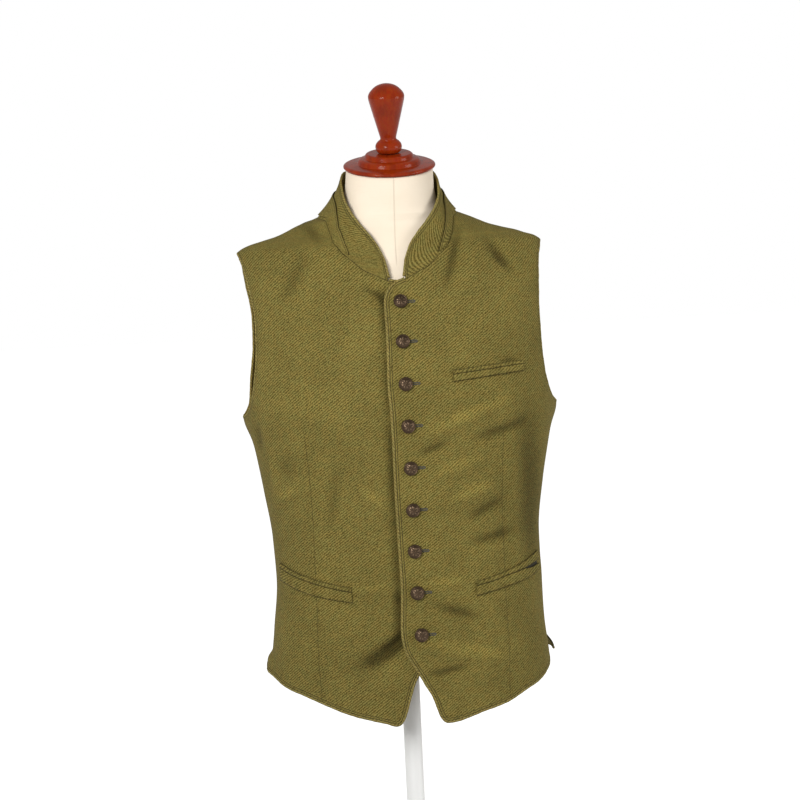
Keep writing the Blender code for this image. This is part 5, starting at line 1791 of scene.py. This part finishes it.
@dataclass
class Panels:
    """The two fronts and the back."""

    body: Body
    drape: Drape
    cutter: Cutter
    kinds: tuple[float, ...] = (1.0, 0.2, 0.0, 0.5, 0.0, 0.7)
    portion: int = 2000
    sheets: dict[str, Sheet] = field(default_factory=dict)
    faces: dict[str, OuterFace] = field(default_factory=dict)

    def build(self) -> None:
        """Cut, lay and dress the three pieces."""
        for side in Side:
            front, back = f"front_{side.word}", f"back_{side.word}"
            self.sheets[front] = self._sheet(side, self.cutter.front(side), self.drape.front)
            self.sheets[back] = self._sheet(side, self.cutter.back(), self.drape.back)
        for name, sheets, finish in (
            ("front_left", [self.sheets["front_left"]], FRONT_CLOTH),
            ("front_right", [self.sheets["front_right"]], FRONT_CLOTH),
            ("back", self._halves(), BACK_CLOTH),
        ):
            piece = sheet_object(f"{name}_cloth", sheets, CLOTH_WALL)
            dress(piece, finish, Slot.CLOTH, name)
            self.faces[name] = OuterFace(piece, self.body)

    def _halves(self) -> list[Sheet]:
        """The two halves of the back."""
        return [self.sheets[f"back_{side.word}"] for side in Side]

    def declare(self) -> None:
        """Gather the names of the pieces sewn on each front, and leave them unused."""
        for side in Side:
            word = side.word
            going = [f"pocket_{word}", f"stitches_pocket_{word}"]
            for edge in ("front", "armhole"):
                going += [f"binding_{edge}_{word}", f"stitches_{edge}_{word}"]
            if side is L:
                going += ["pocket_chest", "stitches_pocket_chest", "buttonholes"]

    def _sheet(self, side: Side, cut: PanelCut, lay: Callable) -> Sheet:
        """The grid of one side's cloth.

        Args:
            side: The wearer's side.
            cut: Its cut.
            lay: How the cloth is laid there.

        Returns:
            The grid with its maps and marks.
        """
        own, length = cut.places()
        z = self.body.height_at(length)
        turn = side.value * own
        points, crease = lay(side, turn, z)
        across = self.body.across(turn, z)
        if cut.half:
            across = across - self.body.across(np.full_like(turn, side.value * CENTRE_BACK), z)
        weave = np.stack((across, length), axis=-1)
        place, off, sewn = self._edge_places(weave, cut)
        dart = np.stack((self.drape.dart_place(side, points[..., 0], z)[0], z), axis=-1)
        maps = {"weave": weave, "edge": np.stack((place, off), axis=-1), "dart": dart}
        # The creases' height goes with the grid as the mark of their painted highlight and shade
        return Sheet(points, maps, {"wear": crease / FOLD_SHADE_UNIT, "sewn": sewn}, cut)

    def _edge_places(self, weave: Grid, cut: PanelCut) -> Grid:
        """Nearest place on the panel's edge, distance from it, and how much that edge is sewn."""
        rows, columns = weave.shape[:2]
        neck, seam = cut.neck_row, cut.seam_row
        loop = np.concatenate((weave[:, 0], weave[-1, 1:], weave[-2::-1, -1], weave[0, -2::-1]))
        counts = (neck, rows - 1 - neck, columns - 1, rows - 1 - seam, seam, columns - 1)
        kinds = np.repeat(self.kinds, counts)
        if cut.half:
            loop, kinds = loop[neck:], kinds[neck:]
        start, step = loop[:-1], np.diff(loop, axis=0)
        lengths = np.linalg.norm(step, axis=1)
        travelled = np.concatenate(([0.0], np.cumsum(lengths)))[:-1]
        flat = weave.reshape(-1, 2)
        found = []
        for low in range(0, len(flat), self.portion):
            apart = flat[low : low + self.portion, None] - start[None]
            share = np.clip(np.sum(apart * step[None], axis=2) / np.maximum(lengths**2, TINY), 0.0, 1.0)
            gaps = np.linalg.norm(apart - step[None] * share[..., None], axis=2)
            near = gaps.argmin(axis=1)
            row = np.arange(len(near))
            found.append((travelled[near] + share[row, near] * lengths[near], gaps[row, near], kinds[near]))
        return np.concatenate(found, axis=1).reshape(3, rows, columns)

    def edge(self, name: str, kind: str) -> Line:
        """An edge of a panel's inner face.

        Args:
            name: The panel, or the half of the back.
            kind: inner, neck, armhole or hem.

        Returns:
            The edge from the hem up, or from the inner edge to the side.
        """
        sheet = self.sheets[name]
        cuts = {
            "inner": (slice(0, sheet.cut.neck_row + 1), 0),
            "neck": (slice(sheet.cut.neck_row, None), 0),
            "armhole": (slice(sheet.cut.seam_row, None), -1),
            "hem": (0, slice(None)),
        }
        return Line(sheet.points, ways_out(sheet.points))[cuts[kind]]


@dataclass
class Bindings:
    """Narrow rolled binding along every free edge, with its sewn lines."""

    panels: Panels
    trimmer: Trimmer
    evening: int = 4
    notch: Place = (0.0, -0.13, 0.16)
    armhole_middle: Place = (0.17, 0.01, 0.63)
    below_back: Place = (0.0, 0.11, 0.10)
    armhole_seed: int = 10
    back_seed: int = 4

    def build(self) -> None:
        """Bind and sew the free edges."""
        for seed, side in enumerate(Side):
            front = f"front_{side.word}"
            edge = chain(self.panels.edge(front, "hem")[::-1], self.panels.edge(front, "inner")[1:])
            edge = edge.evened(self.evening)
            self.trimmer.bind(f"binding_{front}", edge, self.notch)
            face = self.panels.faces[front]
            lines = [self.trimmer.inside(face, edge, self.notch, reach) for reach in self.trimmer.reaches]
            self.trimmer.sew(f"stitches_{front}", lines, seed)
            self._armhole(side, seed + self.armhole_seed)
        hems = [self.panels.edge(f"back_{side.word}", "hem") for side in Side]
        hem = chain(hems[0][::-1], hems[1][1:]).evened(self.evening)
        self.trimmer.bind("binding_back", hem, self.below_back)
        line = self._first_line("back", hem, self.below_back)
        self.trimmer.sew("stitches_back", [line], self.back_seed)

    def _armhole(self, side: Side, seed: int) -> None:
        """Bind an armhole all round."""
        names = (f"front_{side.word}", f"back_{side.word}")
        front, back = (self.panels.edge(name, "armhole") for name in names)
        ring = chain(front[:-1], back[:0:-1]).evened(self.evening)
        middle = np.array(self.armhole_middle) * (side.value, 1.0, 1.0)
        self.trimmer.bind(f"binding_armhole_{side.word}", ring, middle, closed=True)
        lines = [
            self._first_line(names[0], front.evened(self.evening), middle),
            self._first_line("back", back.evened(self.evening), middle),
        ]
        self.trimmer.sew(f"stitches_armhole_{side.word}", lines, seed)

    def _first_line(self, face: str, edge: Line, open_side: Sequence[float]) -> Line:
        """The line of sewing nearest to an edge."""
        return self.trimmer.inside(self.panels.faces[face], edge, open_side, self.trimmer.reaches[0])


@dataclass
class Collar:
    """Standing collar with its outer band and binding."""

    panels: Panels
    trimmer: Trimmer
    rows: int = 15
    evening: int = 3
    bellies: Pair = (0.0015, -0.0035)
    belly_shares: Pair = (0.28, 0.50)
    foot_share: float = 0.6
    heart: Place = (0.0, 0.01, 0.0)
    neck_middle: Place = (0.0, 0.02, 0.90)
    above: Place = (0.0, 0.0, 1.0)
    shift: float = 0.0025
    shift_heights: Pair = (0.720, 0.790)
    band_wall: float = 0.0016
    band_foot: float = 0.0034
    band_least: float = 0.04
    band_lift: float = 0.0023
    band_rows: int = 8
    band_line: float = 0.0022
    foot_off: float = 0.004
    seed: int = 21
    sheets: dict[str, Sheet] = field(default_factory=dict)

    def build(self) -> None:
        """Make the stand, its band and its binding."""
        left, right = self._columns(L), self._columns(R)
        grid = np.concatenate((left, right[-2::-1])).transpose(1, 0, 2)
        outs = ways_out(grid, self.heart)
        stand = self._piece("collar_stand", grid, CLOTH_WALL)
        face = OuterFace(stand, self.panels.body)
        band = self._band(grid, outs)
        band_face = OuterFace(self._piece("collar_band", band, self.band_wall), self.panels.body)
        whole = Line(grid, outs)
        edge = chain(whole[2:-1, 0], whole[-1], whole[-2:1:-1, -1]).evened(self.evening)
        self.trimmer.bind("binding_collar", edge, self.above)
        lines = [self.trimmer.inside(face, edge, self.above, reach) for reach in self.trimmer.reaches]
        top = Line(band[-1], ways_out(band, self.heart)[-1]).beside(self.above, -self.band_line)
        lines.append(band_face.drop(top, self.trimmer.lift))
        self.trimmer.sew("stitches_collar", lines, self.seed)

    def declare(self) -> None:
        """Nothing is done for the stand and the band."""

    def _piece(self, name: str, grid: Grid, wall: float) -> bpy.types.Object:
        """A piece of the collar from its grid."""
        run = np.linalg.norm(np.diff(grid, axis=1, prepend=grid[:, :1]), axis=2).cumsum(axis=1)
        rise = np.linalg.norm(np.diff(grid, axis=0, prepend=grid[:1]), axis=2).cumsum(axis=0)
        weave = np.stack((run - run[:, -1:] * 0.5, rise), axis=-1)
        top = np.minimum(rise[-1:] - rise, np.minimum(run, run[:, -1:] - run))
        off = np.minimum(top, rise + self.foot_off)
        maps = {"weave": weave, "edge": np.stack((run, off), axis=-1)}
        marks = {"wear": np.zeros(off.shape), "sewn": np.ones(off.shape)}
        sheet = self.sheets[name] = Sheet(grid, maps, marks)
        return dress(sheet_object(f"{name}_cloth", [sheet], wall), STRIP_CLOTH, Slot.CLOTH, name)

    def _neckline(self, side: Side) -> Line:
        """Neck edge of one side's panels from the throat to the centre back."""
        front = self.panels.edge(f"front_{side.word}", "neck")
        back = self.panels.edge(f"back_{side.word}", "neck")
        middle = 0.5 * (front.points[-1:] + back.points[-1:])
        out = unit(front.outs[-1:] + back.outs[-1:])
        line = chain(front[:-1:2], Line(middle, out), back[-2::-2])
        if not np.allclose(line.points[-1], back.points[0]):
            line = chain(line, back[:1])
        return line.evened(self.evening)

    def _columns(self, side: Side) -> Grid:
        """Columns of the stand on one side, each from its foot to its top."""
        line = self._neckline(side)
        shares = Route(line.points).shares
        top = np.array(COLLAR_TOP) * (side.value, 1.0, 1.0)
        top[:, 0] += self.shift * fade(top[:, 2], *self.shift_heights)
        top = Route(top).at(shares)
        into_hole = unit(line.beside(self.neck_middle, 1.0).points - line.points)
        out = unit(np.cross(np.cross(line.outs, into_hole), top - line.points))
        away = (line.points - self.heart) * LEVEL
        out = np.where(np.sum(out * away, axis=1, keepdims=True) < 0.0, -out, out)
        lean = -CLOTH_WALL * np.sum(out * into_hole, axis=1, keepdims=True)
        foot = line.points + into_hole * np.maximum(0.0, lean) * self.foot_share
        front, sides = self.bellies
        fullness = front + (sides - front) * fade(shares, *self.belly_shares)
        up = np.linspace(0.0, 1.0, self.rows + 1)[None, :, None]
        belly = fullness[:, None, None] * np.sin(math.pi * up)
        return foot[:, None] * (1.0 - up) + top[:, None] * up + out[:, None] * belly

    def _band(self, grid: Grid, outs: Grid) -> Grid:
        """Grid of the outer band, on the stand's outer face."""
        along = 1.0 - np.abs(2.0 * Route(grid[0]).shares - 1.0)
        kept = np.flatnonzero(along >= BAND_TOP[0][0])
        low = self.band_foot / np.linalg.norm(grid[-1, kept] - grid[0, kept], axis=1)
        top = Table(("along", "up"), BAND_TOP).at(along[kept], "up")
        high = np.maximum(top, low + self.band_least)
        lines = []
        for j in range(self.band_rows + 1):
            up = (low + (high - low) * j / self.band_rows) * self.rows
            row = np.minimum(up.astype(int), self.rows - 1)
            share = (up - row)[:, None]
            point = grid[row, kept] * (1 - share) + grid[row + 1, kept] * share
            out = unit(outs[row, kept] * (1 - share) + outs[row + 1, kept] * share)
            lines.append(point + out * self.band_lift)
        return np.array(lines)


@dataclass
class Pockets:
    """Three double-welt pockets on the fronts."""

    panels: Panels
    trimmer: Trimmer
    steps: int = 70
    rows: int = 6
    wall: float = 0.0015
    gap: float = 0.0005
    crown: float = 0.0004
    mouth: float = 0.0008
    gape: float = 0.0040
    gape_shares: Pair = (0.72, 0.92)
    sewn_off: float = 0.0006
    sewn_lift: float = 0.0001
    edge_off: float = 0.0003
    inside_past: float = 0.0008
    inside_lift: float = 0.00015
    inside_wall: float = 0.0002
    first_seed: int = 30

    def build(self) -> None:
        """Make the welts, the dark sheet of painted shadow in the mouth and the sewn lines of each pocket.
        """
        places = (
            ("pocket_chest", L, CHEST_POCKET, 0.0),
            ("pocket_left", L, LOWER_POCKET_LEFT, self.gape),
            ("pocket_right", R, LOWER_POCKET_RIGHT, 0.0),
        )
        half = 0.5 * self.mouth
        for seed, (name, side, rows, gape) in enumerate(places, start=self.first_seed):
            table = Table(POCKET_COLUMNS, rows)
            own = np.linspace(table.keys[0], table.keys[-1], self.steps + 1)
            mouth, foot, top = (table.at(own, word) for word in POCKET_COLUMNS[1:])
            drop = gape * fade(np.linspace(0.0, 1.0, self.steps + 1), *self.gape_shares)
            self._strip(f"{name}_welt", side, own, foot, mouth - half - drop)
            self._strip(f"{name}_jet", side, own, mouth + half, top)
            self._inside(name, side, own, mouth - half - drop, mouth + half)
            face = self.panels.faces[f"front_{side.word}"]
            lines = [face.at(side.value * own, z) for z in (foot - self.sewn_off, top + self.sewn_off)]
            self.trimmer.sew(f"stitches_{name}", [line.raised(self.sewn_lift) for line in lines], seed)

    def _grid(self, side: Side, own: Grid, low: Grid, high: Grid, rows: int) -> tuple[Grid, Grid]:
        """Points of a front's surface between two lines, and their ways out."""
        face = self.panels.faces[f"front_{side.word}"]
        lines = [face.at(side.value * own, low + (high - low) * j / rows) for j in range(rows + 1)]
        return np.array([line.points for line in lines]), np.array([line.outs for line in lines])

    def _strip(self, name: str, side: Side, own: Grid, low: Grid, high: Grid) -> None:
        """A welt between two lines, slightly crowned."""
        points, outs = self._grid(side, own, low, high, self.rows)
        share = np.linspace(0.0, 1.0, self.rows + 1)[:, None]
        grid = points + outs * (self.gap + self.crown * np.sin(math.pi * share))[..., None]
        off = np.minimum(share, 1.0 - share) * (high - low)[None]
        run = np.broadcast_to(own, off.shape)
        weave = np.stack((side.value * run, low + (high - low) * share), axis=-1)
        maps = {"weave": weave, "edge": np.stack((run, off + self.edge_off), axis=-1)}
        marks = {"wear": np.zeros(off.shape), "sewn": np.zeros(off.shape)}
        strip = sheet_object(f"{name}_cloth", [Sheet(grid, maps, marks)], self.wall)
        dress(strip, STRIP_CLOTH, Slot.CLOTH, name)

    def _inside(self, name: str, side: Side, own: Grid, low: Grid, high: Grid) -> None:
        """A dark sheet in the mouth, as painted shadow of the pocket's inside."""
        low, high = low[1:-1] - self.inside_past, high[1:-1] + self.inside_past
        points, outs = self._grid(side, own[1:-1], low, high, 2)
        sheet = Sheet(points + outs * self.inside_lift)
        dress(sheet_object(f"{name}_inside", [sheet], self.inside_wall), POCKET_SHADE, Slot.CLOTH)


@dataclass
class Buttons:
    """Nine domed buttons with a rosette of petals and a roped rim, and their buttonholes."""

    panels: Panels
    trimmer: Trimmer
    radius: float = 0.0083
    height: float = 0.0052
    rounding: float = 0.0005
    sides: int = 64
    turn_step: float = 0.37
    petals: int = 8
    petal_height: float = 0.00024
    motif_foot: float = 0.3
    petal_power: float = 0.7
    petal_ring: Pair = (0.46, 0.17)
    heart_ring: Pair = (0.17, 0.07)
    rope_ring: Pair = (0.93, 0.06)
    rope: int = 28
    rope_slant: float = 40.0
    rope_height: float = 0.00014
    hole_reach: Pair = (0.0060, 0.0158)
    hole_half: float = 0.0010
    hole_lift: float = 0.00012
    hole_steps: int = 16
    hole_end_steps: int = 7
    seed: int = 50

    def build(self) -> None:
        """Make the buttons and buttonholes."""
        face = self.panels.faces["front_left"]
        profile = [(self.radius * across, self.height * up) for across, up in BUTTON_SHAPE]
        profile = softened(profile, self.rounding, 3)
        for number, (x, z) in enumerate(BUTTONS, start=1):
            spot = face.at(np.array([x]), np.array([z]))
            out = Vector(spot.outs[0])
            place = Matrix.Translation(Vector(spot.points[0]) + out * LAYER_GAP)
            place = place @ out.to_track_quat("Z", "Y").to_matrix().to_4x4()
            place = place @ Matrix.Rotation(self.turn_step * number, 4, "Z")
            button = turned_object(f"button_{number}_dome", profile, self.sides, place, self._relief)
            dress(button, BRONZE, Slot.METAL, f"button_{number}")
        self.trimmer.sew("buttonholes", [self._hole(face, x, z) for x, z in BUTTONS], self.seed)

    def _relief(self, radius: Grid, turn: Grid, height: Grid) -> Grid:
        """Height of the motif at a radius and turn."""
        r = radius / self.radius
        upper = height > self.motif_foot * self.height
        rings = (self.petal_ring, self.heart_ring, self.rope_ring)
        outer, heart, rim = (np.exp(-(((r - at) / width) ** 2)) for at, width in rings)
        petal = outer * (np.abs(np.cos(0.5 * self.petals * turn)) ** self.petal_power * 2.0 - 1.0)
        petal = petal + heart * np.cos(self.petals * turn + math.pi) * 0.5
        rope = rim * np.cos(self.rope * turn + self.rope_slant * (r - self.rope_ring[0]))
        return upper * (self.petal_height * petal + self.rope_height * rope)

    def _hole(self, face: OuterFace, x: float, z: float) -> Line:
        """Line round a buttonhole, to the wearer's left of its button."""
        low, high = self.hole_reach
        half, steps = self.hole_half, self.hole_steps
        across = np.linspace(low, high, steps)
        end = np.linspace(-0.5 * math.pi, 0.5 * math.pi, self.hole_end_steps)[1:-1]
        xs = np.concatenate((across, high + half * np.cos(end), across[::-1]))
        zs = np.concatenate((np.full(steps, -half), half * np.sin(end), np.full(steps, half)))
        return face.at(x + xs, z + zs).raised(self.hole_lift)


# The dress form


@dataclass
class DressForm:
    """Limbless torso and neck covered in linen."""

    body: Body
    bottom: float = 0.246
    ease_body: float = 0.0065
    ease_shoulder: float = 0.0026
    ease_fades: Pair = (0.640, 0.715)
    shoulder_drop: float = 0.0016
    shoulder_half: float = 0.1655
    drop_fade: Pair = (0.700, 0.730)
    sides: int = 112
    torso_top: float = 0.758
    torso_rings: int = 96
    neck_steps: int = 18
    neck_rings: tuple[tuple[float, ...], ...] = (
        (0.7640, 0.0005, 0.0120, 0.0690, 0.0675, 2.0),
        (0.7750, 0.0015, 0.0050, 0.0590, 0.0605, 5.0),
        (0.7900, 0.0025, 0.0000, 0.0541, 0.0565, 9.0),
        (0.8050, 0.0030, -0.0030, 0.0523, 0.0545, 12.0),
        (0.8175, 0.0035, -0.0055, 0.0517, 0.0525, 14.0),
    )

    def build(self) -> None:
        """Make the covered form."""
        rings = [self._ring(z) for z in np.linspace(self.bottom, self.torso_top, self.torso_rings)]
        table = Table(("z", *range(5)), [(row[0], *row[1:]) for row in self.neck_rings])
        for z in np.linspace(self.neck_rings[0][0], self.neck_rings[-1][0], self.neck_steps):
            rings.append(self._neck_ring(z, *(float(table.at(z, i)) for i in range(5))))
        count = len(rings)
        faces = [tuple(range(self.sides))]
        for j in range(count - 1):
            for i in range(self.sides):
                a, b = j * self.sides + i, j * self.sides + (i + 1) % self.sides
                faces.append((a, a + self.sides, b + self.sides, b))
        faces.append(tuple(reversed(range((count - 1) * self.sides, count * self.sides))))
        mesh = bpy.data.meshes.new(FORM_COVER)
        mesh.from_pydata(np.concatenate(rings).tolist(), [], faces)
        mesh.shade_smooth()
        form = add_object(FORM_COVER, mesh)
        outward_check(form)
        dress(form, LINEN, Slot.COVER, "form_torso")

    def _ring(self, z: float) -> Grid:
        """Ring of the torso at a height."""
        at = self.body.rings.at
        ease = self.ease_body + (self.ease_shoulder - self.ease_body) * float(fade(z, *self.ease_fades))
        side_ease = ease + self.shoulder_drop * float(fade(z, *self.drop_fade))
        half = min(float(at(z, "half_width")) - side_ease, self.shoulder_half)
        s, c = oval(np.arange(self.sides) * 360.0 / self.sides, at(z, "power"))
        depth = np.where(c > 0.0, at(z, "front") - ease, at(z, "back") - ease)
        x = at(z, "centre_x") + half * s
        return np.stack((x, at(z, "centre_y") - depth * c, np.full(self.sides, z)), axis=1)

    def _neck_ring(
        self, z: float, centre_x: float, centre_y: float, half_width: float, half_depth: float, tilt: float
    ) -> Grid:
        """Ring of the neck, tilted forward."""
        turn = np.arange(self.sides) * TURN / self.sides
        forward = half_depth * np.cos(turn)
        lean = math.radians(tilt)
        x = centre_x + half_width * np.sin(turn)
        return np.stack((x, centre_y - forward * math.cos(lean), z - forward * math.sin(lean)), axis=1)


def outward_check(piece: bpy.types.Object) -> None:
    """Turn the faces of a closed piece outwards where they point in."""
    volume = 0.0
    mesh = piece.data
    mesh.calc_loop_triangles()
    for triangle in mesh.loop_triangles:
        a, b, c = (mesh.vertices[i].co for i in triangle.vertices)
        volume += a.dot(b.cross(c))
    if volume < 0.0:
        mesh.flip_normals()


@dataclass
class Crown:
    """Turned wooden neck cap and finial."""

    centre: Place = (0.0035, -0.0055, 0.8175)
    tilt: float = 14.0
    cap_radius: float = 0.0550
    cap_height: float = 0.0183
    finial_radius: float = 0.0217
    finial_height: float = 0.0830
    finial_lean: float = 1.2
    cap_soft: float = 0.0009
    finial_soft: float = 0.0022
    gap: float = 0.0003
    sides: int = 96

    def build(self) -> None:
        """Turn the cap and the finial."""
        crown = Matrix.Translation(self.centre) @ Matrix.Rotation(math.radians(self.tilt), 4, "X")
        size = (self.cap_radius, self.cap_height, self.cap_soft)
        self._turn("neck_cap", CAP_SHAPE, size, crown @ Matrix.Translation((0.0, 0.0, self.gap)))
        lean = math.radians(self.finial_lean)
        foot = FINIAL_SHAPE[-2][0] * self.finial_radius
        up = self.cap_height + 2.0 * self.gap + foot * math.sin(lean)
        place = crown @ Matrix.Translation((0.0, 0.0, up)) @ Matrix.Rotation(-lean, 4, "Y")
        size = (self.finial_radius, self.finial_height, self.finial_soft)
        self._turn("finial", FINIAL_SHAPE, size, place)

    def _turn(self, name: str, shape: Sequence[Pair], size: Place, place: Matrix) -> None:
        """Turn one piece of wood to a radius, a height and a rounding."""
        radius, height, soft = size
        profile = softened([(radius * across, height * z) for across, z in shape], soft, 6)
        piece = turned_object(f"{name}_turned", profile, self.sides, place)
        outward_check(piece)
        dress(piece, MAHOGANY, Slot.WOOD, name)


@dataclass
class Stand:
    """Pole with its socket and the round base plate, turned in one."""

    head: float = 0.2457
    pole_radius: float = 0.0110
    base_radius: float = 0.1500
    base_height: float = 0.0100
    socket_radius: float = 0.0190
    socket_height: float = 0.0220
    rounding: float = 0.0006
    sides: int = 96

    def build(self) -> None:
        """Turn the stand."""
        socket = self.base_height + self.socket_height
        profile = [
            (0.0, self.head),
            (self.pole_radius, self.head),
            (self.pole_radius, socket),
            (self.socket_radius, socket),
            (self.socket_radius, self.base_height),
        ]
        profile += [(self.base_radius * across, self.base_height * up) for across, up in BASE_SHAPE]
        stand = turned_object("stand_turned", softened(profile, self.rounding, 3), self.sides, Matrix())
        outward_check(stand)
        dress(stand, WHITE_PAINT, Slot.PAINT, "form_stand")


@dataclass
class Studio:
    """Camera at the photograph's angle, soft lights and a pale floor."""

    azimuth: float = -4.0
    elevation: float = 4.0
    distance: float = 3.2
    roll: float = 2.7
    target: Place = (0.0035, 0.0, 0.540)
    lit: Place = (0.0, -0.10, 0.600)
    pixel: float = 0.0012
    picture: int = 800
    sensor: float = 36.0
    world_light: float = 0.49
    floor_half: float = 14.0
    lamps: tuple[tuple[str, Place, float, float, float], ...] = (
        ("key", (-1.15, -1.9, 1.25), 0.9, 3.5, 45.0),
        ("fill", (2.4, -1.0, 1.0), 1.2, 25.0, 180.0),
    )

    def build(self) -> None:
        """Set the studio up."""
        self._camera()
        self._floor()
        for lamp in self.lamps:
            self._light(*lamp)
        self._world()
        bpy.context.scene.view_settings.view_transform = "Standard"

    def _camera(self) -> None:
        """Place the camera."""
        az, el = math.radians(self.azimuth), math.radians(self.elevation)
        back = Vector((math.sin(az) * math.cos(el), -math.cos(az) * math.cos(el), math.sin(el)))
        x = Vector((0.0, 0.0, 1.0)).cross(back).normalized()
        turn = Matrix((x, back.cross(x), back)).transposed()
        turn = turn @ Matrix.Rotation(-math.radians(self.roll), 3, "Z")
        data = bpy.data.cameras.new("camera")
        data.sensor_width = self.sensor
        data.lens = self.sensor * self.distance / (self.picture * self.pixel)
        camera = add_object("camera", data)
        place = Vector(self.target) + back * self.distance
        camera.matrix_world = Matrix.Translation(place) @ turn.to_4x4()
        bpy.context.scene.camera = camera

    def _light(self, name: str, place: Place, size: float, power: float, spread: float) -> None:
        """A soft lamp that faces the garment, its beam spread over degrees."""
        data = bpy.data.lights.new(name, "AREA")
        data.energy = power
        data.size = size
        data.spread = math.radians(spread)
        lamp = add_object(name, data)
        way = Vector(self.lit) - Vector(place)
        turn = way.to_track_quat("-Z", "Y").to_matrix().to_4x4()
        lamp.matrix_world = Matrix.Translation(place) @ turn

    def _floor(self) -> None:
        """A wide pale floor."""
        half = self.floor_half
        mesh = bpy.data.meshes.new("studio_floor")
        corners = [(-half, -half, 0.0), (half, -half, 0.0), (half, half, 0.0), (-half, half, 0.0)]
        mesh.from_pydata(corners, [], [(0, 1, 2, 3)])
        floor = add_object("studio_floor", mesh)
        floor.data.materials.append(FLOOR.material())
        floor.visible_diffuse = False

    def _world(self) -> None:
        """White surroundings that light more softly than they look."""
        world = bpy.data.worlds.new("studio")
        world.use_nodes = True
        tree = world.node_tree
        background = tree.nodes["Background"]
        background.inputs["Color"].default_value = tone(WHITE)
        path = tree.nodes.new("ShaderNodeLightPath")
        strength = tree.nodes.new("ShaderNodeMapRange")
        strength.inputs["To Min"].default_value = self.world_light
        strength.inputs["To Max"].default_value = 1.0
        tree.links.new(path.outputs["Is Camera Ray"], strength.inputs["Value"])
        tree.links.new(strength.outputs[0], background.inputs["Strength"])
        bpy.context.scene.world = world


def main() -> None:
    """Build the dressed model in order and report each piece."""
    logging.basicConfig(level=logging.INFO, format="%(message)s")
    body = Body()
    panels = Panels(body, Drape(body), Cutter(body))
    threads = ThreadTree()
    collar = Collar(panels, Trimmer(threads, clear=0.93))
    parts = (
        panels,
        Bindings(panels, Trimmer(threads)),
        collar,
        Pockets(panels, Trimmer(threads, Stitch(0.0026, 0.0013, 0.00026))),
        Buttons(panels, Trimmer(threads, Stitch(0.00050, 0.0019, 0.00028, across=1.0), BUTTONHOLE_THREAD)),
        DressForm(body),
        Crown(),
        Stand(),
        Studio(),
    )
    for part in parts:
        part.build()
        LOG.info("built %s", type(part).__name__)
    panels.declare()
    collar.declare()


if __name__ == "__main__":
    main()
